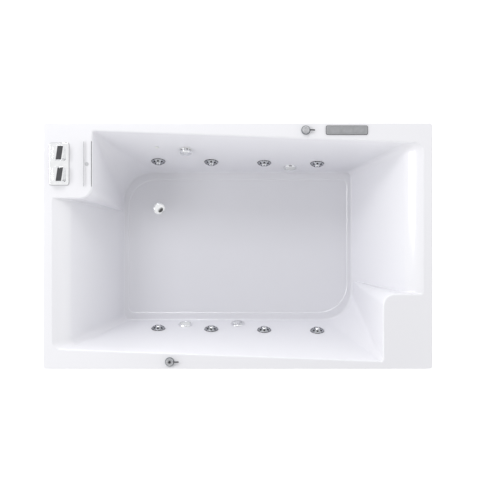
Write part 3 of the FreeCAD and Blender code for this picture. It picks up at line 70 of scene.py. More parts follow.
def linear(hexText):
    channels = [int(hexText[i:i + 2], 16) / 255 for i in (1, 3, 5)]
    return tuple(c / 12.92 if c <= 0.04045 else ((c + 0.055) / 1.055) ** 2.4 for c in channels) + (1,)


def perMetre(mm):
    return 1000 / mm  # texture scale for a feature of that size


def addNode(tree, kind, inputs=None, **settings):
    node = tree.nodes.new(kind)
    for name, value in settings.items():
        setattr(node, name, value)
    for name, value in (inputs or {}).items():
        if isinstance(value, bpy.types.NodeSocket):
            tree.links.new(value, node.inputs[name])
        else:
            node.inputs[name].default_value = value
    return node


def newMaterial(name):
    material = bpy.data.materials.new(name)
    material.use_nodes = True
    return material, material.node_tree


def tintBase(tree, tone, dark, light, spots=(0, 1)):
    # base colour drawn between two tones
    ramp = addNode(tree, "ShaderNodeValToRGB", {"Fac": tone})
    for stop, spot, colour in zip(ramp.color_ramp.elements, spots, (dark, light)):
        stop.position = spot
        stop.color = linear(colour)
    tree.links.new(ramp.outputs[0], tree.nodes["Principled BSDF"].inputs["Base Color"])


def makeFinish(name, dark, light, toneMm, grainMm, rough, depthMm, stretch=(1, 1, 1), cells=False,
        **sockets):
    # colour drifts over toneMm; roughness and relief follow a grain of grainMm
    material, tree = newMaterial(name)
    shader = tree.nodes["Principled BSDF"]
    for socket, value in sockets.items():
        shader.inputs[socket.replace("_", " ")].default_value = value
    place = addNode(tree, "ShaderNodeTexCoord").outputs["Object"]
    place = addNode(tree, "ShaderNodeMapping", {"Vector": place, "Scale": stretch}).outputs[0]
    if cells:
        spots = addNode(tree, "ShaderNodeTexVoronoi", {"Vector": place, "Scale": perMetre(toneMm)})
        tone = addNode(tree, "ShaderNodeSeparateColor", {"Color": spots.outputs["Color"]}).outputs[0]
    else:
        clouds = {"Vector": place, "Scale": perMetre(toneMm), "Detail": 4.0}
        tone = addNode(tree, "ShaderNodeTexNoise", clouds).outputs[0]
    tintBase(tree, tone, dark, light, (0.3, 0.7))
    grain = addNode(tree, "ShaderNodeTexNoise",
        {"Vector": place, "Scale": perMetre(grainMm), "Detail": 3.0})
    spread = addNode(tree, "ShaderNodeMapRange",
        {"Value": grain.outputs[0], "To Min": rough[0], "To Max": rough[1]})
    tree.links.new(spread.outputs[0], shader.inputs["Roughness"])
    bump = addNode(tree, "ShaderNodeBump",
        {"Height": grain.outputs[0], "Strength": 0.5, "Distance": depthMm / 1000})
    tree.links.new(bump.outputs[0], shader.inputs["Normal"])
    return material


def depthShadedAcrylic():
    # white acrylic with a random tone drift, darker towards the basin floor: painted shade of the deep basin
    material = makeFinish("depthShadedAcrylic", "#EDEDF1", "#EFEFF3", 420, 120, (0.1, 0.17), 0.25, IOR=1.49)
    tree = material.node_tree
    place = addNode(tree, "ShaderNodeTexCoord").outputs["Object"]
    level = addNode(tree, "ShaderNodeSeparateXYZ", {"Vector": place}).outputs["Z"]
    # darker towards the floor of the basin: painted shade
    share = addNode(tree, "ShaderNodeMapRange",
        {"Value": level, "From Min": 0.15, "From Max": 0.6}).outputs[0]
    drift = addNode(tree, "ShaderNodeTexNoise",
        {"Vector": place, "Scale": perMetre(420), "Detail": 2.0}).outputs[0]
    mixed = addNode(tree, "ShaderNodeMath", {0: drift, 1: 0.06, 2: share}, operation="MULTIPLY_ADD")
    tintBase(tree, mixed.outputs[0], "#E2E2E8", "#EDEDF1")
    return material


finishes = {
    "white_acrylic": depthShadedAcrylic(),
    # chopped strands in rolled resin on the hidden back: mottled and coarse
    "glass_fibre": makeFinish("glassFibre", "#C9C6B8", "#E4E2D8", 16, 5, (0.35, 0.65), 1.2, cells=True),
    # bright chrome plate: near mirror with faint polishing haze
    "chrome": makeFinish("chromePlate", "#ECEDEF", "#F3F4F5", 24, 3, (0.04, 0.1), 0.01, Metallic=1.0),
    # jet faces: a darker copy of the chrome, painted shade so that they mirror less
    "shaded_chrome": makeFinish("shadedJetPlating", "#A4A6AA", "#BCBEC2", 12, 2, (0.08, 0.18), 0.02, Metallic=1.0),
    # brushed blade of the spout: hairlines along it
    "satin_steel": makeFinish("satinSteel", "#BFC0C3", "#CCCDD0", 2, 1.2, (0.3, 0.44), 0.02, (1, 0.02, 1),
        Metallic=1.0),
    # bead-blasted knobs: even grey with a soft sheen
    "satin_chrome": makeFinish("satinChrome", "#BCBDC0", "#C6C7CA", 14, 0.9, (0.34, 0.46), 0.02,
        Metallic=0.85),
    # moulded keypad housing with a spark-eroded grain
    "grey_keypad": makeFinish("keypadPlastic", "#989A9C", "#A1A2A5", 30, 0.9, (0.36, 0.5), 0.04),
    # printed-film keys, a little paler and smoother
    "key_membrane": makeFinish("keyFilm", "#9A9B9E", "#A3A4A7", 12, 1.2, (0.26, 0.36), 0.02),
    # hot-dip zinc: crystal spangle in two greys
    "galvanised_steel": makeFinish("zincSteel", "#989DA1", "#BCC0C3", 12, 5, (0.3, 0.5), 0.04, cells=True,
        Metallic=0.9),
    # pressed wood chips sealed with resin
    "base_timber": makeFinish("particleBoard", "#9C7C55", "#CDAE82", 6, 2.5, (0.62, 0.85), 0.4, cells=True),
    # extruded pipe: even, with handling scuffs
    "white_pvc": makeFinish("whitePipe", "#DDDEDB", "#E8E9E6", 70, 8, (0.3, 0.5), 0.05),
    "grey_pvc": makeFinish("greyPipe", "#7B8083", "#898E91", 60, 8, (0.3, 0.5), 0.05),
    # stoved enamel with orange peel
    "motor_paint": makeFinish("motorEnamel", "#2C3F5C", "#37496A", 55, 2.4, (0.28, 0.42), 0.08),
    # glass-filled nylon, matt moulded grain
    "black_plastic": makeFinish("blackNylon", "#1A1A1C", "#262628", 16, 0.9, (0.45, 0.65), 0.05),
    # dark satin inserts of jets, knobs and grilles
    "smoke_plastic": makeFinish("smokePlastic", "#3A3B3E", "#47484B", 6, 0.8, (0.3, 0.42), 0.02),
    # turned and milled brass with tool marks
    "polished_brass": makeFinish("machinedBrass", "#B5924C", "#CBAB66", 18, 1.5, (0.22, 0.4), 0.02,
        Metallic=1.0),
    # lathe-turned shaft steel
    "steel": makeFinish("turnedSteel", "#9A9C9F", "#B4B6B9", 12, 0.9, (0.22, 0.36), 0.02, (0.1, 1, 0.1),
        Metallic=1.0),
    # pressed lens: pale, frosted, softly rippled
    "lamp_lens": makeFinish("lampGlass", "#EDF0F1", "#F6F7F8", 10, 3, (0.08, 0.2), 0.08, IOR=1.5,
        Transmission_Weight=0.2),
    # moulded seal: soft black with a dull bloom
    "rubber": makeFinish("sealRubber", "#202022", "#2C2C2E", 8, 1, (0.6, 0.8), 0.03),
}
slotOfNode = {part["node"]: part["material_slot"] for part in frame["record"]["subparts"]}
for name, node in frame["nodes"].items():
    for holder in node.material_slots:
        holder.material = finishes[slotOfNode[name]]
print("finishes made")

# Mesh helpers


def meshFrom(bm):
    mesh = bpy.data.meshes.new("shape")
    bm.to_mesh(mesh)
    bm.free()
    return mesh


def closedMesh(bm):
    bmesh.ops.recalc_face_normals(bm, faces=bm.faces)
    return meshFrom(bm)


def joinRings(bm, low, high, layer=0):
    count = max(len(low), len(high))
    for i in range(count):
        j = (i + 1) % count
        corners = (low[i % len(low)], low[j % len(low)], high[j % len(high)], high[i % len(high)])
        corners = list(dict.fromkeys(corners))
        if len(corners) > 2:
            bm.faces.new(corners).material_index = layer


def addRing(bm, points):
    return [bm.verts.new(Vector(point) / 1000) for point in points]


def loftMesh(rings):
    bm = bmesh.new()
    loops = [addRing(bm, ring) for ring in rings]
    for low, high in zip(loops, loops[1:]):
        joinRings(bm, low, high)
    bm.faces.new(loops[0][::-1])
    bm.faces.new(loops[-1])
    return closedMesh(bm)


def cornerRays(before, here, after):
    # directions back, ahead and down the middle of a corner, with half its angle
    back, ahead = (before - here).normalized(), (after - here).normalized()
    return back, ahead, (back + ahead).normalized(), back.angle(ahead) / 2


def turnBetween(start, end):
    return atan2(start.x * end.y - start.y * end.x, start.dot(end))


def cornerArc(before, here, after, radius, steps):
    # points of the arc that rounds one corner of a flat outline
    back, ahead, inside, half = cornerRays(before, here, after)
    run = min(radius / tan(half), (before - here).length * 0.49, (after - here).length * 0.49)
    centre = here + inside * (run / cos(half))
    start, end = here + back * run - centre, here + ahead * run - centre
    turn = turnBetween(start, end)
    spots = []
    for k in range(steps + 1):
        c, s = cos(turn * k / steps), sin(turn * k / steps)
        spots.append(centre + Vector((start.x * c - start.y * s, start.x * s + start.y * c)))
    return spots


def softProfile(points, steps):
    # rounds each (radius, height, fillet) corner, with a support point where a long run meets it
    out = []
    flat = [Vector(point[:2]) for point in points]
    for i, point in enumerate(points):
        if len(point) < 3 or i in (0, len(points) - 1):
            out.append(flat[i])
            continue
        before, after = flat[i - 1], flat[i + 1]
        arc = cornerArc(before, flat[i], after, point[2], steps)
        lead = (arc[0] - flat[i]).length
        if (before - arc[0]).length > lead:
            out.append(arc[0] + (before - arc[0]).normalized() * lead * 0.3)
        out += arc
        if (after - arc[-1]).length > lead:
            out.append(arc[-1] + (after - arc[-1]).normalized() * lead * 0.3)
    return out


def turnedMesh(points, segments=64, steps=5, scallop=None):
    # an outline spun about Z; scallop is (count, depth, from radius) for a lobed edge
    rings = []
    bm = bmesh.new()
    turns = [2 * pi * k / segments for k in range(segments)]
    for spot in softProfile(points, steps):
        if spot.x < 1e-4:
            rings.append(addRing(bm, [(0, 0, spot.y)]))
            continue
        radii = [spot.x] * segments
        if scallop and spot.x > scallop[2]:
            radii = [spot.x - scallop[1] * (0.5 - 0.5 * cos(scallop[0] * a)) ** 3 for a in turns]
        ring = [(r * cos(a), r * sin(a), spot.y) for r, a in zip(radii, turns)]
        rings.append(addRing(bm, ring))
    if len(rings[0]) > 1:
        rings.append(rings[0])
    for low, high in zip(rings, rings[1:]):
        joinRings(bm, low, high)
    return closedMesh(bm)


def sleeve(inner, outer, low, high, segments):
    # plain hollow cylinder, or a solid one where inner is 0
    return turnedMesh([(inner, low), (outer, low), (outer, high), (inner, high)], segments)


def plateOutline(halfX, halfY, radii, level, steps=8, runs=1):
    # rounded rectangle with its own radius at each corner, from (+X, +Y) round
    arcs = []
    for i, (sx, sy) in enumerate(((1, 1), (-1, 1), (-1, -1), (1, -1))):
        centre = Vector((sx * (halfX - radii[i]), sy * (halfY - radii[i])))
        turns = [pi / 2 * (i + k / steps) for k in range(steps + 1)]
        arcs.append([centre + Vector((cos(a), sin(a))) * radii[i] for a in turns])
    spots = []
    for arc, following in zip(arcs, arcs[1:] + arcs[:1]):
        spots += arc + [arc[-1].lerp(following[0], k / runs) for k in range(1, runs)]
    return [(spot.x, spot.y, level) for spot in spots]


def quarter(steps):
    # a rounded edge's points, as shares of its radius from either face
    turns = [pi / 2 * k / steps for k in range(steps + 1)]
    return [(1 - sin(a), 1 - cos(a)) for a in turns]


def roundedBox(length, width, height, corner, edge, foot=0.3):
    # a block that stands on z = 0, with rounded corners and softened edges
    profile = [(foot * 1.4, 0)] + [(foot * near, foot * far) for near, far in quarter(3)]
    profile += [(edge * far, height - edge * near) for near, far in quarter(6)]
    profile.append((edge * 1.3, height))
    rings = []
    for inset, level in profile:
        radii = [max(corner - inset, 0.1)] * 4
        rings.append(plateOutline(length / 2 - inset, width / 2 - inset, radii, level))
    return loftMesh(rings)


def moved(mesh, matrix):
    mesh.transform(matrix)
    return mesh


def shift(x, y, z):
    return Matrix.Translation(Vector((x, y, z)) / 1000)


def joinMeshes(items):
    # items are (mesh, finish) pairs
    bm = bmesh.new()
    used = list(dict.fromkeys(finish for mesh, finish in items))
    for mesh, finish in items:
        first = len(bm.faces)
        bm.from_mesh(mesh)
        bm.faces.ensure_lookup_table()
        for face in bm.faces[first:]:
            face.material_index = used.index(finish)
    joined = meshFrom(bm)
    for finish in used:
        joined.materials.append(finishes[finish])
    return joined


def addPiece(name, mesh, body, slotName, *standsFor, angle=35):
    mesh.name = name
    if not mesh.materials:
        mesh.materials.append(finishes[slotName])
    mesh.shade_smooth()
    mesh.set_sharp_from_angle(angle=radians(angle))
    piece = bpy.data.objects.new(name, mesh)
    scene.collection.objects.link(piece)
    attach(piece, body)
    if standsFor:
        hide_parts(*standsFor)


def workObject(mesh):
    piece = bpy.data.objects.new("work", mesh)
    scene.collection.objects.link(piece)
    return piece


def plainResult(piece):
    # the evaluated shape as a plain mesh; the working object goes
    bpy.context.view_layer.update()
    mesh = bpy.data.meshes.new_from_object(piece.evaluated_get(bpy.context.evaluated_depsgraph_get()))
    piece.modifiers.clear()
    bpy.data.objects.remove(piece)
    return mesh


def carved(mesh, cutters):
    base = workObject(mesh)
    bm = bmesh.new()
    for cutter in cutters:
        bm.from_mesh(cutter)
    tool = workObject(meshFrom(bm))
    carve = base.modifiers.new("carve", "BOOLEAN")
    carve.operation = "DIFFERENCE"
    carve.solver = "EXACT"
    carve.object = tool
    result = plainResult(base)
    bpy.data.objects.remove(tool)
    return result


# Geometry nodes: one tree repeats a piece round Z


def repeatTree():
    tree = bpy.data.node_groups.new("repeatPiece", "GeometryNodeTree")
    kinds = {"Geometry": "Geometry", "Count": "Int", "Turn": "Float", "Finish": "Material"}
    for name, kind in kinds.items():
        tree.interface.new_socket(name, in_out="INPUT", socket_type="NodeSocket" + kind)
    tree.interface.new_socket("Geometry", in_out="OUTPUT", socket_type="NodeSocketGeometry")
    given = addNode(tree, "NodeGroupInput").outputs
    single = addNode(tree, "GeometryNodeGeometryToInstance", {0: given["Geometry"]})
    copies = addNode(tree, "GeometryNodeDuplicateElements", {
        "Geometry": single.outputs[0], "Amount": given["Count"]}, domain="INSTANCE").outputs
    angle = addNode(tree, "ShaderNodeMath", {0: copies["Duplicate Index"], 1: given["Turn"]},
        operation="MULTIPLY")
    spin = addNode(tree, "ShaderNodeCombineXYZ", {"Z": angle.outputs[0]})
    turned = addNode(tree, "GeometryNodeRotateInstances", {
        "Instances": copies["Geometry"], "Rotation": spin.outputs[0], "Local Space": False})
    real = addNode(tree, "GeometryNodeRealizeInstances", {"Geometry": turned.outputs[0]})
    painted = addNode(tree, "GeometryNodeSetMaterial",
        {"Geometry": real.outputs[0], "Material": given["Finish"]})
    addNode(tree, "NodeGroupOutput", {0: painted.outputs[0]})
    return tree


repeatPiece = repeatTree()


def roundAxis(mesh, count, finish):
    piece = workObject(mesh)
    change = piece.modifiers.new("repeat", "NODES")
    change.node_group = repeatPiece
    values = {"Count": count, "Turn": 2 * pi / count, "Finish": finishes[finish]}
    for item in repeatPiece.interface.items_tree:
        if item.in_out == "INPUT" and item.name in values:
            change[item.identifier] = values[item.name]
    return plainResult(piece)


print("helpers ready")

# Tub shell: rolled backrests, skewed long walls, two deck blocks, recessed floor

tub = {
    "length": 1900, "width": 1200, "rim": 600, "foot": 152.5, "floor": 150, "corner": 14,
    "endRim": 907, "endFoot": 602, "rollLevel": 550, "rollEnd": 822, "rollBlend": 1.2,
    "roll": ((565.1, 840.8), (578.5, 861.3), (590.1, 883.3)),
    "sideWide": 563, "sideNarrow": 502, "sideFoot": 392, "sideLean": 0.32, "deckEdge": 710,
    "deckFoot": 605, "deckSide": 233, "deckFootSide": 181,
    "deckCorner": (14, 60), "coveCorner": (155, 12), "endCorner": (30, 40), "valley": 8,
    "rimFillet": 9, "footFillet": 12, "wallRun": 9, "skin": 8, "lipDrop": 45, "lipEdge": 5,
    "panelLength": 1156, "panelWidth": 704, "panelCorners": (30, 150, 30, 150), "panelBlend": 3,
    "arcSteps": (10, 24, 14, 6), "runSteps": (24, 8, 8, 20),
}
backRuns = [(tub["foot"], tub["endFoot"]), (tub["rollLevel"], tub["rollEnd"])]
backRuns += [*tub["roll"], (tub["rim"], tub["endRim"])]
endSlope = (tub["rollEnd"] - tub["endFoot"]) / (tub["rollLevel"] - tub["foot"])
depth = tub["rim"] - tub["foot"]


def rise(level):
    return (level - tub["foot"]) / depth


def between(pair, share):
    return pair[0] + (pair[1] - pair[0]) * share


def backrest(level, skin=0):
    # distance of the end wall from the middle: its straight runs, blended where they meet
    reaches = []
    for (low, near), (high, far) in zip(backRuns, backRuns[1:]):
        lean = (far - near) / (high - low)
        reaches.append(near + lean * (level - low) + skin * hypot(1, lean))
    top = max(reaches)
    total = sum(exp((reach - top) / tub["rollBlend"]) for reach in reaches)
    return top + tub["rollBlend"] * log(total)


def rimSide(place):
    share = (place + tub["deckEdge"]) / (tub["endRim"] + tub["deckEdge"])
    return between((tub["sideWide"], tub["sideNarrow"]), share)


def sideWall(place, level):
    return between((tub["sideFoot"], rimSide(place / backrest(level) * tub["endRim"])), rise(level))


def filletShift(run, lean, radius):
    # how far a fillet between a flat and a leaning wall stands off that wall
    last = pi / 2 - atan(lean)
    reach = radius * (1 - cos(last))
    if run >= reach:
        return 0.0
    return radius * sin(last) - lean * (reach - run) - radius * sin(acos(1 - run / radius))


def basinOutline(level, grow=0.0, outset=0.0):
    # outline at one level; the half on the +Y side is built, the other is its half turn
    share = rise(level)
    reach = backrest(level, grow) + outset
    leans = [tub["sideLean"], (tub["deckEdge"] - tub["deckFoot"]) / depth,
        (tub["deckSide"] - tub["deckFootSide"]) / depth]
    shifts = [grow + outset] * 3
    if not grow:
        run = max(level - tub["foot"], 0)
        reach -= filletShift(run, endSlope, tub["footFillet"])
        for i, lean in enumerate(leans):
            shifts[i] += filletShift(tub["rim"] - level, lean, tub["rimFillet"])
            shifts[i] -= filletShift(run, lean, tub["footFillet"])
    bare = backrest(level)
    slope = (sideWall(bare, level) - sideWall(-bare, level)) / (2 * bare)
    middle = (sideWall(bare, level) + sideWall(-bare, level)) / 2 + shifts[0]
    face = min(between((tub["deckFoot"], tub["deckEdge"]), share) + shifts[1], reach - 0.3)
    side = between((tub["deckFootSide"], tub["deckSide"]), share) + shifts[2]
    block = reach - face
    corners = [
        (Vector((reach, middle + slope * reach)), between(tub["endCorner"], share) + shifts[0]),
        (Vector((-face, middle - slope * face)), between(tub["coveCorner"], share) + shifts[0]),
        (Vector((-face, side)), max(min(between(tub["deckCorner"], share) - shifts[1], 0.8 * block), 0.05)),
        (Vector((-reach, side)), max(min(tub["valley"], 0.15 * block), 0.02)),
    ]
    corners += [(-point, radius) for point, radius in corners]
    arcs = []
    for i, (point, radius) in enumerate(corners):
        near, far = corners[i - 1][0], corners[(i + 1) % 8][0]
        steps = tub["arcSteps"][i % 4]
        back, ahead, inside, half = cornerRays(near, point, far)
        centre = point + inside * (radius / sin(half))
        start = point + back * (radius / tan(half)) - centre
        end = point + ahead * (radius / tan(half)) - centre
        turn = turnBetween(start, end)
        arcs.append([centre + Matrix.Rotation(turn * k / steps, 2) @ start for k in range(steps + 1)])
    spots = []
    for i, arc in enumerate(arcs):
        count = tub["runSteps"][i % 4]
        spots += arc + [arc[-1].lerp(arcs[(i + 1) % 8][0], k / count) for k in range(1, count)]
    return [(spot.x, spot.y, level) for spot in spots]


def lipOutline(inset, level):
    radii = [max(tub["corner"] - inset, 2)] * 4
    return plateOutline(tub["length"] / 2 - inset, tub["width"] / 2 - inset, radii, level, 8, 40)


def panelOutline(inset, level):
    radii = [corner - inset for corner in tub["panelCorners"]]
    return plateOutline(tub["panelLength"] / 2 - inset, tub["panelWidth"] / 2 - inset, radii, level, 12, 30)


def fillBetween(bm, loops, layer):
    edges = []
    for loop in loops:
        for vert, following in zip(loop, loop[1:] + loop[:1]):
            edges.append(bm.edges.get((vert, following)) or bm.edges.new((vert, following)))
    made = bmesh.ops.triangle_fill(bm, use_beauty=True, use_dissolve=False, edges=edges)
    for item in made["geom"]:
        if isinstance(item, bmesh.types.BMFace):
            item.material_index = layer


def wallRings(bm):
    drops = [0, 0.14, 0.55, 1.2, 2.1, 3.2, 4.5, 6, 7.5, 9, 10, 11, 12, 13, 14, 16, 19, 23, 28, 34, 40, 45,
        50, 56, 65]
    drops += [80, 100, 130, 170, 210, 250, 290, 330, 370, 400, 420, 430, 434.5]
    drops += [depth - height for height in (10.5, 8.6, 6.8, 5.2, 3.8, 2.6, 1.6, 0.8, 0.3, 0)]
    rings = [basinOutline(tub["rim"], outset=1.5)] + [basinOutline(tub["rim"] - drop) for drop in drops]
    rings.append(basinOutline(tub["foot"], outset=-2))
    return [addRing(bm, ring) for ring in rings]


def panelRings(bm):
    # sunken floor panel with a gentle step
    blend = tub["panelBlend"]
    rings = [panelOutline(-blend - 1.5, tub["foot"])]
    for k in range(9):
        level = between((tub["foot"], tub["floor"]), 0.5 - 0.5 * cos(pi * k / 8))
        rings.append(panelOutline(blend * (k / 4 - 1), level))
    rings.append(panelOutline(blend + 1.5, tub["floor"]))
    return [addRing(bm, ring) for ring in rings]


def lipRings(bm):
    # the rim's turned-down outer edge and its inner face
    edge, skin, rim = tub["lipEdge"], tub["skin"], tub["rim"]
    low = rim - tub["lipDrop"]
    spots = [(edge * 1.4, rim)] + [(edge * near, rim - edge * far) for near, far in quarter(6)]
    spots += [(0, low + 2), (0.6, low + 0.6), (2, low), (skin - 1, low), (skin, low + 1)]
    spots += [(skin, rim - skin - 3), (skin + 3, rim - skin)]
    return [addRing(bm, lipOutline(*spot)) for spot in spots]


def backRings(bm):
    levels = [592, 588, 582, 574, 565, 555, 546, 535, 500, 450, 400, 350, 300, 250, 210, 180, 165, 156,
        150, 142]
    return [addRing(bm, basinOutline(level, grow=tub["wallRun"])) for level in levels]


def makeShell():
    front, back = 0, 1
    bm = bmesh.new()
    wall, step, lip, behind = wallRings(bm), panelRings(bm), lipRings(bm), backRings(bm)
    for rings, layer in ((wall, front), (step, front), (lip, front), (behind, back)):
        for high, under in zip(rings, rings[1:]):
            joinRings(bm, high, under, layer)
    fillBetween(bm, [wall[0], lip[0]], front)
    fillBetween(bm, [wall[-1], step[0]], front)
    fillBetween(bm, [step[-1]], front)
    fillBetween(bm, [lip[-1], behind[0]], back)
    fillBetween(bm, [behind[-1]], back)
    mesh = closedMesh(bm)
    mesh.materials.append(finishes["white_acrylic"])
    mesh.materials.append(finishes["glass_fibre"])
    return mesh


# Seats of the fittings

fits = {
    "gap": 0.3, "jetHole": 22, "lightHole": 25.3, "suctionHole": 28.3, "overflowHole": 24.3,
    "sensorHole": 7.3, "wasteHole": 22.3, "fillerHole": 9.3, "leadHole": 3.8, "valveHole": 15.3,
    "stemHole": 6.3, "drillRun": 36, "waste": (-418, 200, 150), "mixer": (-871, 400, 600),
    "spout": (-737, 400, 600), "keypad": (532, 565, 600), "air": ((332, 565, 600), (-332, -565, 600)),
    "handleSpacing": 104, "light": (274, 380), "suction": (0, 395, -1), "overflow": (-262, 180, 1),
    "sensor": (-406, 155, 1),
}


def seatFrame(base, inward):
    # local Z points into the basin, local Y up the wall
    inward = Vector(inward).normalized()
    rising = (up - inward * up.dot(inward)).normalized()
    turn = Matrix((rising.cross(inward), rising, inward)).transposed().to_4x4()
    return Matrix.Translation(base) @ turn


def sideSeat(place, drop, side):
    level = tub["rim"] - drop
    x = place * side
    y = sideWall(x, level)
    inward = Vector((sideWall(x + 1, level) - y, -1, sideWall(x, level + 1) - y)).normalized()
    half = Vector((side, side, 1))
    return seatFrame((Vector((x, y, level)) + inward * fits["gap"]) * half / 1000, inward * half)


lightSeats = [sideSeat(fits["light"][0] * side, fits["light"][1], side) for side in (1, -1)]
suctionSeat, overflowSeat = sideSeat(*fits["suction"]), sideSeat(*fits["overflow"])
sensorSeat = sideSeat(*fits["sensor"])
jetJoints = [joints[f"jet_ring_{i}_turn"] for i in range(1, 9)]
jetSeats = [seatFrame(Vector(joint["pos_m"]), joint["axis"]) for joint in jetJoints]
handleX, handleY, deckLevel = fits["mixer"]
handleSpots = [(handleX, handleY + side * fits["handleSpacing"] / 2, deckLevel) for side in (1, -1)]


def shellDrills():
    run = fits["drillRun"] / 2
    seats = {
        "jetHole": jetSeats, "lightHole": lightSeats, "suctionHole": [suctionSeat],
        "overflowHole": [overflowSeat], "sensorHole": [sensorSeat], "wasteHole": [shift(*fits["waste"])],
        "fillerHole": [shift(*fits["mixer"]), shift(*fits["spout"])],
        "leadHole": [shift(*fits["keypad"])], "valveHole": [shift(*spot) for spot in fits["air"]],
        "stemHole": [shift(*spot) for spot in handleSpots],
    }
    return [moved(sleeve(0, fits[name], -run, run, 48), seat) for name in seats for seat in seats[name]]


shellMesh = carved(makeShell(), shellDrills())
addPiece("tubShell", shellMesh, "root", "white_acrylic", "tub_shell", angle=30)
print("shell made", len(shellMesh.polygons))

# Jets: lobed ring with eight openings floored in black as painted shade, on a flat seal, and a nozzle ball

jet = {
    "edgeRadius": 35.5, "edge": 3.8, "backRadius": 29.2, "seatRadius": 16, "seatLevel": 2.6,
    "coneFoot": (32.4, 6), "coneTop": (21, 14), "crest": 14.8, "ventRadius": 5.4, "ventDepth": 0.5,
    "ventCount": 8, "lobes": 12, "lobeDepth": 1.7, "seal": 36.2, "ballRadius": 15.7, "ballRise": 4,
    "ballFlat": 9.6, "ballTail": 14.6, "nozzle": 5.5, "liner": 1.1, "linerFoot": -9, "lobesFrom": 28,
    "mouth": 9.6,
}


def jetRingMesh():
    seat, base, crest = jet["seatRadius"], jet["seatLevel"], jet["crest"]
    (footRadius, foot), (topRadius, top) = jet["coneFoot"], jet["coneTop"]
    ring = turnedMesh([
        (seat, base), (jet["backRadius"], base), (jet["backRadius"], 0.4),
        (jet["edgeRadius"] - 0.4, 0.4, 0.3), (jet["edgeRadius"], jet["edge"], 1.4),
        (footRadius, foot, 0.7), (topRadius, top, 0.8), (seat + 2.6, crest, 0.8), (seat + 0.6, crest, 0.6),
        (seat, jet["mouth"])], 96, 4, (jet["lobes"], jet["lobeDepth"], jet["lobesFrom"]))
    # openings square to the cone, each with a black disc just below its mouth as painted shade of the opening
    lean = atan2(top - foot, footRadius - topRadius)
    place = shift((footRadius + topRadius) / 2, 0, (foot + top) / 2) @ Matrix.Rotation(lean, 4, "Y")
    radius, ventDeep = jet["ventRadius"], jet["ventDepth"]
    vent = sleeve(0, radius, -ventDeep - 1, 6, 28)
    plug = sleeve(0, radius + 0.1, -ventDeep - 1.1, -ventDeep, 28)
    ring = carved(ring, [roundAxis(moved(vent, place), jet["ventCount"], "chrome")])
    ventShades = roundAxis(moved(plug, place), jet["ventCount"], "black_plastic")
    # flat seal under the ring: a thin dark line in its scallops
    seal = turnedMesh([(jet["backRadius"] + 0.1, 0.35), (jet["seal"], 0.35),
        (jet["seal"], 1.1, 0.2), (jet["backRadius"] + 0.1, 1.1)], 72)
    # the ring takes the darker copy of the chrome, painted shade
    return joinMeshes([(ring, "shaded_chrome"), (ventShades, "black_plastic"), (seal, "rubber")])


def jetBallMesh():
    radius, lift, bore = jet["ballRadius"], jet["ballRise"], jet["nozzle"]
    profile = [(bore, lift - jet["ballTail"])]
    start = acos(bore / radius)
    end = acos(jet["ballFlat"] / radius)
    for k in range(21):
        a = -start + (start + end) * k / 20
        profile.append((radius * cos(a), lift + radius * sin(a)))
    front = lift + radius * sin(end)
    profile += [(jet["ballFlat"] - 0.5, front + 0.05), (bore + 2.6, front),
        (bore + 1.7, front - 0.7, 0.5), (bore, front - 0.9)]
    ball = turnedMesh(profile, 56)
    liner = sleeve(bore - jet["liner"], bore + 0.02, jet["linerFoot"], front - 1, 40)
    return joinMeshes([(ball, "chrome"), (liner, "black_plastic")])


ringMesh, ballMesh = jetRingMesh(), jetBallMesh()
for i, seat in enumerate(jetSeats, start=1):
    for name, node, mesh in (("jetRing", "jet_ring", ringMesh), ("jetBall", "jet_ball", ballMesh)):
        addPiece(f"{name}_{i}", moved(mesh.copy(), seat), f"{node}_{i}", "chrome", f"{node}_{i}")
print("jets made")

# Underwater lights: domed, rippled lens inside a screwed chrome rim

lamp = {"radius": 27, "height": 10, "base": 1.9, "shoulder": 6.2, "ripple": 0.28, "rim": (36.5, 7.3),
    "rimInner": 27.4, "screwCircle": 30.4, "screws": 3}


def lampLensMesh():
    profile = [(0, lamp["base"]), (lamp["radius"], lamp["base"]), (lamp["radius"], 5.6, 1.2)]
    for k in range(1, 14):
        r = lamp["radius"] * (1 - k / 14)
        dome = lamp["shoulder"] + (lamp["height"] - lamp["shoulder"]) * (1 - (r / lamp["radius"]) ** 2)
        ripple = lamp["ripple"] * cos(pi * k)
        profile.append((r, min(dome + ripple, lamp["height"]) - 0.1))
    profile.append((0, lamp["height"] - 0.1))
    return turnedMesh(profile, 72)


def lampRimMesh():
    inner, (wide, high) = lamp["rimInner"], lamp["rim"]
    rim = turnedMesh([
        (inner, 1), (wide - 0.5, 0.2, 0.3), (wide, 2.2, 0.8), (wide - 2.1, 6.1, 1.6), (wide - 4.5, high, 1),
        (inner + 1, high, 0.7), (inner, 6)], 80)
    screw = turnedMesh([(0, 6), (1.9, 6), (1.9, high + 0.4, 0.4), (0, high + 0.6)], 20)
    screws = roundAxis(moved(screw, shift(lamp["screwCircle"], 0, 0)), lamp["screws"], "satin_chrome")
    return joinMeshes([(rim, "chrome"), (screws, "satin_chrome")])


lensMesh, rimMesh = lampLensMesh(), lampRimMesh()
lenses = joinMeshes([(moved(lensMesh.copy(), seat), "lamp_lens") for seat in lightSeats])
addPiece("lampLenses", lenses, "root", "lamp_lens", "light_lenses")
for i, seat in enumerate(lightSeats, start=1):
    addPiece(f"lampRim_{i}", moved(rimMesh.copy(), seat), "root", "chrome")

# Suction fitting: low slotted dome held by one screw

suction = {"radius": 36.5, "height": 11, "slots": 12, "slotWidth": 3, "slotIn": 12, "slotOut": 26.5,
    "edgeSlot": (2.4, 5.6), "edgeCircle": 30.6, "guard": 27}


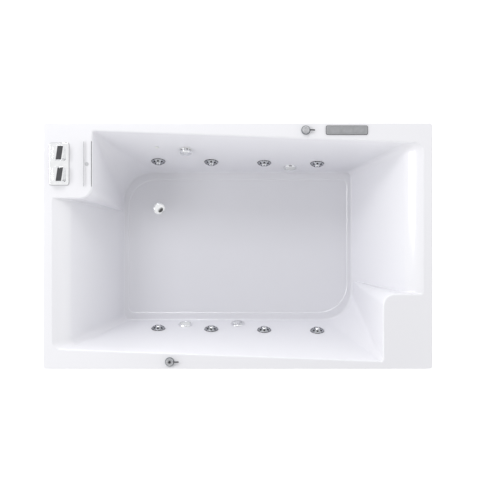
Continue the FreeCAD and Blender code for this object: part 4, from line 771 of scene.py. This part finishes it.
def suctionMesh():
    radius, high = suction["radius"], suction["height"]
    dome = turnedMesh([
        (0, high - 2.5), (radius * 0.5, high - 3.4), (radius - 7.5, high - 5.4), (radius - 3, 0.3),
        (radius, 0.3, 0.2), (radius, 2.4, 1), (radius - 2.6, 6.2, 3), (radius - 8, high - 1.6, 5),
        (radius * 0.45, high - 0.3), (0, high)], 96)
    slot = roundedBox(suction["slotOut"] - suction["slotIn"], suction["slotWidth"], 16, 1.45, 0.1, 0.1)
    slot = moved(slot, shift((suction["slotOut"] + suction["slotIn"]) / 2, 0, 1))
    outer = moved(roundedBox(*suction["edgeSlot"], 16, 1.1, 0.1, 0.1), shift(suction["edgeCircle"], 0, 1))
    outer.transform(Matrix.Rotation(pi / suction["slots"], 4, "Z"))
    cutters = [roundAxis(slot, suction["slots"], "chrome"), roundAxis(outer, suction["slots"], "chrome")]
    dome = carved(dome, cutters)
    screw = turnedMesh([(0, high - 1.5), (4.4, high - 1.5), (4.4, high - 0.1, 0.5), (2.2, high - 0.1),
        (1.6, high - 1), (0, high - 1)], 32)
    guard = sleeve(0, suction["guard"], 0.8, 1.6, 48)
    return joinMeshes([(dome, "chrome"), (screw, "satin_chrome"), (guard, "smoke_plastic")])


addPiece("suctionCover", moved(suctionMesh(), suctionSeat), "root", "chrome", "suction_cover")

# Overflow knob with a ribbed edge and a dished face

knob = {"radius": 30, "height": 12, "stand": 11, "ribs": 36, "stem": 6, "stemFoot": -21, "hub": 9.6}


def overflowMesh():
    radius, low, high = knob["radius"], knob["stand"], knob["stand"] + knob["height"]
    disc = turnedMesh([
        (0, knob["stemFoot"]), (knob["stem"], knob["stemFoot"], 0.5), (knob["stem"], low, 0.4),
        (radius - 1, low, 0.6), (radius - 0.6, low + 1.2, 0.4), (radius - 0.9, low + 8.4, 0.8),
        (radius - 5.6, high, 2), (radius - 9, high - 0.2, 0.8), (radius - 15, high - 2, 3),
        (knob["hub"] + 0.9, high - 2, 0.8), (knob["hub"], high, 0.9), (0, high)], 96)
    rib = moved(roundedBox(1.6, 1.5, 6.2, 0.5, 0.5, 0.5), shift(radius - 0.8, 0, low + 1.4))
    return joinMeshes([(disc, "chrome"), (roundAxis(rib, knob["ribs"], "chrome"), "chrome")])


addPiece("overflowKnob", moved(overflowMesh(), overflowSeat), "overflow_knob", "chrome", "overflow_knob")

# Fixed collar behind the knob, with the windows that the water leaves by; their black lining is painted shade

collar = {"radius": 26.5, "inner": 23, "low": 2.3, "high": 10.4, "windows": 10, "window": (8, 9, 4.4),
    "shadeLining": 24}


def collarMesh():
    ring = turnedMesh([
        (collar["inner"], collar["low"]), (collar["radius"] + 1.2, collar["low"], 0.4),
        (collar["radius"], collar["low"] + 1.6, 0.8), (collar["radius"], collar["high"], 0.8),
        (collar["inner"], collar["high"])], 80)
    window = roundedBox(*collar["window"], 1, 0.4, 0.4)
    window.transform(shift(collar["radius"], 0, collar["low"] + 2.2))
    ring = carved(ring, [roundAxis(window, collar["windows"], "chrome")])
    # black lining behind the windows: painted shade of the overflow's inside
    shadeLining = sleeve(collar["inner"] + 0.2, collar["shadeLining"], 3, 10, 64)
    return joinMeshes([(ring, "chrome"), (shadeLining, "black_plastic")])


addPiece("overflowCollar", moved(collarMesh(), overflowSeat), "root", "chrome")

# Level sensor: a small domed cap, white as a painted highlight for the glint of its chrome

sensor = {"radius": 9.8, "low": 2.2, "high": 7, "crown": 3.4}
sensorGlintCap = turnedMesh([
    (0, sensor["low"]), (sensor["radius"], sensor["low"]), (sensor["radius"], sensor["low"] + 0.8, 0.5),
    (sensor["radius"] - 2.2, sensor["high"] - 1.4, 2.5), (sensor["crown"], sensor["high"] - 0.2, 2),
    (0, sensor["high"])], 48)
addPiece("sensorGlintCap", moved(sensorGlintCap, sensorSeat), "root", "white_pvc")
print("wall fittings made")

# Waste: polished flange and a domed plug on its seal

waste = {"radius": 31, "tube": 22, "wall": 2.5, "tail": -52, "plug": 27, "dome": 7, "stem": 4,
    "stemFoot": -36}


def wasteMesh():
    inner = waste["tube"] - waste["wall"]
    flange = turnedMesh([
        (inner, waste["tail"]), (waste["tube"], waste["tail"]), (waste["tube"], 0.02),
        (waste["radius"], 0.02, 0.3), (waste["radius"], 1.2, 0.7), (waste["radius"] - 3, 2.5, 1),
        (waste["radius"] - 6, 2.4, 0.6), (inner, 1.4, 0.4)], 96)
    bridge = moved(roundedBox(2 * inner + 1.5, 16, 8, 0.4, 0.8), shift(0, 0, -18))
    return joinMeshes([(flange, "chrome"), (bridge, "chrome")])


def plugMesh():
    radius, low = waste["plug"], waste["wall"] + 0.3
    profile = [(0, waste["stemFoot"]), (waste["stem"], waste["stemFoot"], 0.6), (waste["stem"], low, 0.3),
        (radius - 1, low, 0.4), (radius, low + 1.2, 0.8)]
    for k in range(1, 12):
        r = radius * cos(pi / 2 * k / 12)
        profile.append((r, low + 1.8 + (waste["dome"] - 1.8) * sin(pi / 2 * k / 12)))
    profile.append((0, low + waste["dome"]))
    return turnedMesh(profile, 96)


addPiece("wasteFlange", moved(wasteMesh(), shift(*fits["waste"])), "root", "chrome", "waste_flange")
addPiece("wastePlug", moved(plugMesh(), shift(*fits["waste"])), "waste_plug", "chrome", "waste_plug")
print("waste made")

# Deck mixer: plate, two block handles with a dark inlay that is a painted reflection, waterfall spout

mixer = {
    "plate": (96, 206, 5), "plateCorner": 9, "plateEdge": 2.6, "seal": 0.9, "sealHeight": 1.2,
    "handle": (58, 72, 34), "handleCorner": 12, "handleEdge": 4.5, "reflectionPatch": (27, 66), "reflectionSkew": -5,
    "reflectionShift": 7, "stemRadius": 6, "stemDrop": 35.3, "spout": (56, 248, 16), "slot": (42, 220, 6),
    "tail": 9, "tailDrop": 16, "setback": 5,
}


def plateMesh():
    plate = roundedBox(*mixer["plate"], mixer["plateCorner"], mixer["plateEdge"])
    spacing = fits["handleSpacing"] / 2
    hole = sleeve(0, mixer["stemRadius"] + 0.3, -2, 8, 40)
    holes = [moved(hole.copy(), shift(0, side * spacing, 0)) for side in (1, -1)]
    sides = (*mixer["plate"][:2], mixer["plateCorner"])
    long, wide, corner = (value + 2 * mixer["seal"] for value in sides)
    seal = roundedBox(long, wide, mixer["sealHeight"], corner, 0.3, 0.2)
    return joinMeshes([
        (carved(plate, holes), "chrome"), (carved(seal, [hole.copy() for hole in holes]), "smoke_plastic")])


def pin(radius, drop, fillet):
    # a round tail that hangs below a deck fitting
    return turnedMesh([(0, -drop), (radius, -drop, fillet), (radius, 1), (0, 1)], 40)


def handleMesh():
    length, width, high = mixer["handle"]
    block = roundedBox(length, width, high, mixer["handleCorner"], mixer["handleEdge"], 0.8)
    # the dark inlay on each handle's top is a painted dark reflection
    wide, tall = mixer["reflectionPatch"]
    skew, aside = mixer["reflectionSkew"], mixer["reflectionShift"]

    def slanted(inset, level):
        w, t = wide / 2 - inset, tall / 2 - inset
        corners = [(w - skew, t), (-w - skew, t), (-w + skew, -t), (w + skew, -t)]
        return [(x + aside, y, level) for x, y in corners]

    pocket = loftMesh([slanted(0, high - 3), slanted(0, high + 3)])
    profile = ((0.15, high - 3.2), (0.15, high - 0.9), (0.6, high - 0.45), (1.2, high - 0.4))
    reflectionPatch = loftMesh([slanted(*spot) for spot in profile])
    block = carved(block, [pocket])
    stem = pin(mixer["stemRadius"], mixer["stemDrop"], 0.6)
    return joinMeshes([(block, "chrome"), (reflectionPatch, "smoke_plastic"), (stem, "steel")])


def spoutMesh():
    length, width, high = mixer["spout"]
    blade = roundedBox(length, width, high, 3, 1.6, 0.6)
    deep, wide, mouthHigh = mixer["slot"]
    mouth = moved(roundedBox(deep * 2, wide, mouthHigh, 0.5, 0.6, 0.6),
        shift(length / 2, 0, (high - mouthHigh) / 2))
    # the upper blade stops short, so the mouth shows as a dark line from above; the black strip on its floor
    # paints that line's shade
    setback = moved(roundedBox(2 * mixer["setback"], width + 4, high, 0.5, 0.4, 0.4),
        shift(length / 2, 0, high / 2))
    blade = carved(blade, [mouth, setback])
    tail = pin(mixer["tail"], mixer["tailDrop"], 0.5)
    # dark lining at the back of the mouth and black strip on its floor: painted shade of the slot
    shadeLining = moved(roundedBox(1.2, wide - 1, mouthHigh - 0.2, 0.4, 0.1, 0.1),
        shift(length / 2 - deep + 1.4, 0, (high - mouthHigh) / 2 + 0.1))
    mouthShadeStrip = moved(roundedBox(2.6, wide, 0.7, 0.4, 0.2, 0.1),
        shift(length / 2 - mixer["setback"] + 0.9, 0, (high - mouthHigh) / 2 - 0.1))
    return joinMeshes([
        (blade, "satin_steel"), (tail, "satin_steel"), (shadeLining, "smoke_plastic"), (mouthShadeStrip, "black_plastic")])


addPiece("mixerPlate", moved(plateMesh(), shift(*fits["mixer"])), "root", "chrome", "mixer_plate")
handle = handleMesh()
for letter, spot in zip("ab", handleSpots):
    place = shift(spot[0], spot[1], spot[2] + mixer["plate"][2] + fits["gap"])
    node = f"mixer_handle_{letter}"
    addPiece(f"mixerHandle_{letter}", moved(handle.copy(), place), node, "chrome", node)
addPiece("waterfallSpout", moved(spoutMesh(), shift(*fits["spout"])), "root", "satin_steel",
    "waterfall_spout")
print("mixer and spout made")

# Keypad and air knobs on the rim

keypad = {"size": (205, 45, 6), "corner": 8, "skirt": 2.2, "key": (52, 27, 3), "pitch": 60, "rise": 0.8,
    "travel": 1.2, "lead": 3.5, "leadFoot": -16}


def keypadMesh():
    length, width, high = keypad["size"]
    skirt = roundedBox(length, width, high - 2, keypad["corner"], 1)
    inset = 2 * keypad["skirt"]
    housing = roundedBox(length - inset, width - inset, high - 1, keypad["corner"] - 2, 1.2)
    housing.transform(shift(0, 0, 1))
    long, wide, thick = keypad["key"]
    low = high + keypad["rise"] - thick - keypad["travel"] - 0.3
    well = roundedBox(long + 0.6, wide + 0.6, 9, 3.2, 0.1, 0.1)
    wells = [moved(well.copy(), shift(side * keypad["pitch"], 0, low)) for side in (-1, 0, 1)]
    stem = sleeve(0, keypad["lead"], keypad["leadFoot"], 1, 24)
    skirt = carved(skirt, [well.copy() for well in wells])
    return joinMeshes([
        (carved(housing, wells), "grey_keypad"), (skirt, "smoke_plastic"), (stem, "grey_keypad")])


addPiece("keypadFrame", moved(keypadMesh(), shift(*fits["keypad"])), "root", "grey_keypad", "keypad_frame")
for i, step in enumerate((-1, 0, 1), start=1):
    long, wide, thick = keypad["key"]
    key = roundedBox(long, wide, thick, 3, 0.5, 0.3)
    level = fits["keypad"][2] + keypad["size"][2] + keypad["rise"] - thick
    key = moved(key, shift(fits["keypad"][0] + step * keypad["pitch"], fits["keypad"][1], level))
    addPiece(f"keypadKey_{i}", key, f"keypad_key_{i}", "key_membrane", f"keypad_key_{i}")

air = {"radius": 18, "height": 15, "flange": 4, "lever": 3.5, "leverEnd": 45, "stem": 6, "stemFoot": -8,
    "cap": 7}


def airKnobMesh(dark):
    radius, high, cap = air["radius"], air["height"], air["cap"]
    body = turnedMesh([
        (0, air["stemFoot"]), (air["stem"], air["stemFoot"], 0.5), (air["stem"], 0.3, 0.2),
        (radius - 0.4, 0.3, 0.4), (radius, 1.6, 0.6), (radius, high - 3, 1), (radius - 2.7, high, 1.6),
        (radius - 5.5, high, 0.5), (radius - 6.4, high - 0.8, 0.5), (cap + 1.2, high - 0.8, 0.3),
        (cap + 0.6, high - 0.1, 0.4), (0, high - 0.1)], 72)
    disc = turnedMesh([(0, high - 0.9), (cap, high - 0.9), (cap, high - 0.02, 0.4), (0, high)], 40)
    thick, end = air["lever"], air["leverEnd"]
    lever = turnedMesh([
        (0, 8), (thick, 8), (thick, end - 5, 0.8), (thick - 0.7, end - 3, 0.6), (thick - 0.2, end - 1, 0.9),
        (0, end)], 32)
    lever.transform(shift(0, 0, high / 2) @ Matrix.Rotation(pi / 2, 4, "Y"))
    return joinMeshes([(body, "satin_chrome"), (disc, dark), (lever, "smoke_plastic")])


for i, (spot, dark) in enumerate(zip(fits["air"], ("satin_chrome", "smoke_plastic")), start=1):
    place = shift(spot[0], spot[1], spot[2] + air["flange"])
    addPiece(f"airKnob_{i}", moved(airKnobMesh(dark), place), f"air_knob_{i}", "chrome", f"air_knob_{i}")
print("deck controls made")

# Service side: what shows behind the rim when no panels are fitted

service = {
    "pump": (786.57, 205), "motorFoot": -398, "motorEnd": -162, "finRadius": 74.6, "fin": (9, 2, 184),
    "fins": 40, "grilleRings": (16, 28, 40, 52, 64), "grilleBar": (60, 3, 1.6), "voluteBack": -470,
    "boltCircle": 71, "bolts": 8, "bolt": (6.5, 5), "box": (786.57, 360, 219), "lid": (124, 234, 3),
    "lidScrews": (52, 107), "rail": (786.57, 540, 104), "railCap": (40.6, 40.6, 2.4), "nutRadius": 30.6,
    "nutRib": (2, 3.2, 9), "nutRibs": 20, "nutFoot": -20, "pipeLevel": 330, "pipeRadius": 18,
    "pipeStandOff": 33, "pipeSpot": (-438.4, 348), "coupling": (22, 34), "couplingEdge": 24,
}
towardY = Matrix.Rotation(-pi / 2, 4, "X")
towardX = Matrix.Rotation(pi / 2, 4, "Y")
fourCorners = ((-1, -1), (-1, 1), (1, -1), (1, 1))


def motorTrim():
    # cooling fins along the body and the guard over the fan
    x, level = service["pump"]
    fin = moved(roundedBox(*service["fin"], 0.8, 0.5, 0.5), shift(service["finRadius"], 0, 0))
    fins = moved(roundAxis(fin, service["fins"], "motor_paint"),
        shift(x, service["motorFoot"], level) @ towardY)
    items = [(fins, "motor_paint")]
    guard = shift(x, service["motorEnd"], level) @ towardY
    for radius in service["grilleRings"]:
        ring = turnedMesh([(radius - 1.4, -0.4), (radius + 1.4, -0.4), (radius + 1.4, 1.4, 0.3),
            (radius - 1.4, 1.4, 0.3)], 56)
        items.append((moved(ring, guard), "black_plastic"))
    bar = moved(roundedBox(*service["grilleBar"], 1, 0.4, 0.1),
        shift(service["grilleBar"][0] / 2 + 6, 0, -0.2))
    items.append((moved(roundAxis(bar, 6, "black_plastic"), guard), "black_plastic"))
    return joinMeshes(items)


def voluteBolts():
    x, level = service["pump"]
    radius, high = service["bolt"]
    head = turnedMesh([(0, 0), (radius, 0), (radius, high * 0.8), (radius * 0.86, high), (0, high)], 6)
    bolts = roundAxis(moved(head, shift(service["boltCircle"], 0, 0)), service["bolts"], "steel")
    return moved(bolts, shift(x, service["voluteBack"], level) @ towardY.inverted())


def boxLid():
    lid = roundedBox(*service["lid"], 8, 1.2)
    items = [(lid, "grey_pvc")]
    across, along = service["lidScrews"]
    screw = turnedMesh([(0, 2.8), (4, 2.8), (4, 4.4, 0.6), (1.4, 4.5), (1.2, 3.6), (0, 3.6)], 24)
    for side, end in fourCorners:
        items.append((moved(screw.copy(), shift(side * across, end * along, 0)), "steel"))
    return moved(joinMeshes(items), shift(*service["box"]))


def railCaps():
    x, y, level = service["rail"]
    items = []
    for side, end in fourCorners:
        turn = towardY if end > 0 else towardY.inverted()
        cap = roundedBox(*service["railCap"], 3, 1)
        items.append((moved(cap, shift(side * x, end * y, level) @ turn), "black_plastic"))
    return joinMeshes(items)


def nutRibs():
    # grip ribs round the nuts that hold the jets from behind
    rib = moved(roundedBox(*service["nutRib"], 0.8, 0.4, 0.4),
        shift(service["nutRadius"], 0, service["nutFoot"]))
    ribs = roundAxis(rib, service["nutRibs"], "white_pvc")
    return joinMeshes([(moved(ribs.copy(), seat), "white_pvc") for seat in jetSeats])


def pipeCouplings():
    # glued sleeves between the branches of the two pressure pipes
    inner = service["pipeRadius"] - 0.5
    waist, long = service["coupling"]
    waist, edge, half = waist - 1, service["couplingEdge"] - 1, long / 2
    end = [(inner, -half), (waist, -half), (edge, -half + 3, 1), (edge, -half + 8, 1),
        (waist, -half + 10, 1)]
    end += [(radius, -level, *fillet) for radius, level, *fillet in reversed(end)]
    coupling = turnedMesh(end, 48)
    side = sideWall(*service["pipeSpot"]) + service["pipeStandOff"]
    items = []
    for sign in (1, -1):
        spots = sorted(seat.translation.x * 1000 for seat in jetSeats if seat.translation.y * sign > 0)
        for near, far in zip(spots, spots[1:]):
            place = shift((near + far) / 2, side * sign, service["pipeLevel"]) @ towardX
            items.append((moved(coupling.copy(), place), "white_pvc"))
    return joinMeshes(items)


addPiece("motorTrim", motorTrim(), "root", "motor_paint")
addPiece("voluteBolts", voluteBolts(), "root", "steel")
addPiece("controlBoxLid", boxLid(), "root", "grey_pvc")
addPiece("railCaps", railCaps(), "root", "black_plastic")
addPiece("jetNutRibs", nutRibs(), "root", "white_pvc")
addPiece("pipeCouplings", pipeCouplings(), "root", "white_pvc")
print("service side made")

# Stage: pale floor, soft light from the left and the back, a grey card that only mirrors see

stage = {
    "floorReach": 9, "floorGlow": 0.74, "zenith": 0.3, "horizon": 1.72, "lampPower": 71, "lampSize": 1.5,
    "lamps": {"leftBox": (-4.3, 0.9, 4.2), "backBox": (-0.9, 4.3, 4.4)}, "aim": (0, 0, 0.4),
    "cards": {"highCard": ((0.3, -0.55, 2.6), 1.3)}, "cardEdge": (0.6, 1),
}


def viewerRay(tree):
    # 1 for what the camera, a mirror or glass sees
    path = addNode(tree, "ShaderNodeLightPath").outputs
    seen = addNode(tree, "ShaderNodeMath", {0: path["Is Camera Ray"], 1: path["Is Glossy Ray"]},
        operation="MAXIMUM")
    return addNode(tree, "ShaderNodeMath", {
        0: seen.outputs[0], 1: path["Is Transmission Ray"]}, operation="MAXIMUM").outputs[0]


def mattMaterial(name, dark, light, toneMm, detail, rough):
    material, tree = newMaterial(name)
    place = addNode(tree, "ShaderNodeTexCoord").outputs["Object"]
    tone = addNode(tree, "ShaderNodeTexNoise",
        {"Vector": place, "Scale": perMetre(toneMm), "Detail": detail})
    tintBase(tree, tone.outputs[0], dark, light)
    tree.nodes["Principled BSDF"].inputs["Roughness"].default_value = rough
    return material


def floorMaterial():
    # matt painted studio floor with a faint trowel mottle
    material = mattMaterial("paintedFloor", "#C4C4C4", "#CACACA", 300, 3.0, 0.9)
    tree = material.node_tree
    shader = tree.nodes["Principled BSDF"]
    shader.inputs["Emission Color"].default_value = (1, 1, 1, 1)
    glow = addNode(tree, "ShaderNodeMath", {0: viewerRay(tree), 1: stage["floorGlow"]},
        operation="MULTIPLY")
    tree.links.new(glow.outputs[0], shader.inputs["Emission Strength"])
    return material


def flatCard(name, half, material):
    mesh = bpy.data.meshes.new(name)
    corners = [(sx * half, sy * half, 0) for sx, sy in ((-1, -1), (1, -1), (1, 1), (-1, 1))]
    mesh.from_pydata(corners, [], [(0, 1, 2, 3)])
    mesh.materials.append(material)
    card = bpy.data.objects.new(name, mesh)
    scene.collection.objects.link(card)
    return card


flatCard("studioFloor", stage["floorReach"], floorMaterial())


def cardMaterial(half):
    # grey felt with a faint nap, thinning to nothing at its edge so that no outline mirrors
    material = mattMaterial("greyFelt", "#5C5C5C", "#666666", 4, 2.0, 0.95)
    tree = material.node_tree
    felt = tree.nodes["Principled BSDF"].outputs[0]
    place = addNode(tree, "ShaderNodeTexCoord").outputs["Object"]
    reach = addNode(tree, "ShaderNodeVectorMath", {0: place}, operation="LENGTH").outputs["Value"]
    solid, gone = (half * share for share in stage["cardEdge"])
    fade = addNode(tree, "ShaderNodeMapRange",
        {"Value": reach, "From Min": solid, "From Max": gone}).outputs[0]
    clear = addNode(tree, "ShaderNodeBsdfTransparent").outputs[0]
    mixed = addNode(tree, "ShaderNodeMixShader", {0: fade, 1: felt, 2: clear})
    tree.links.new(mixed.outputs[0], tree.nodes["Material Output"].inputs["Surface"])
    return material


for name, (spot, half) in stage["cards"].items():
    card = flatCard(name, half, cardMaterial(half))
    card.location = spot
    card.rotation_euler = (Vector(spot) - Vector(stage["aim"])).to_track_quat("Z", "Y").to_euler()
    card.visible_camera = False
    card.visible_diffuse = False
    card.visible_shadow = False

# the room is dimmer overhead than round the sides, so walls stay brighter than the floor
world = bpy.data.worlds.new("softRoom")
world.use_nodes = True
scene.world = world
room = world.node_tree
background = room.nodes["Background"]
background.inputs["Color"].default_value = (1, 1, 1, 1)
heading = addNode(room, "ShaderNodeTexCoord").outputs["Generated"]
height = addNode(room, "ShaderNodeSeparateXYZ", {"Vector": heading}).outputs["Z"]
glow = addNode(room, "ShaderNodeMapRange", {
    "Value": height, "To Min": stage["horizon"], "To Max": stage["zenith"]}).outputs[0]
strength = addNode(room, "ShaderNodeMapRange", {"Value": viewerRay(room), "To Min": glow, "To Max": 1.0})
room.links.new(strength.outputs[0], background.inputs["Strength"])

for name, spot in stage["lamps"].items():
    lampData = bpy.data.lights.new(name, "AREA")
    lampData.size = stage["lampSize"]
    lampData.energy = stage["lampPower"]
    softBox = bpy.data.objects.new(name, lampData)
    softBox.location = spot
    softBox.rotation_euler = (Vector(stage["aim"]) - Vector(spot)).to_track_quat("-Z", "Y").to_euler()
    scene.collection.objects.link(softBox)
print("stage lit")
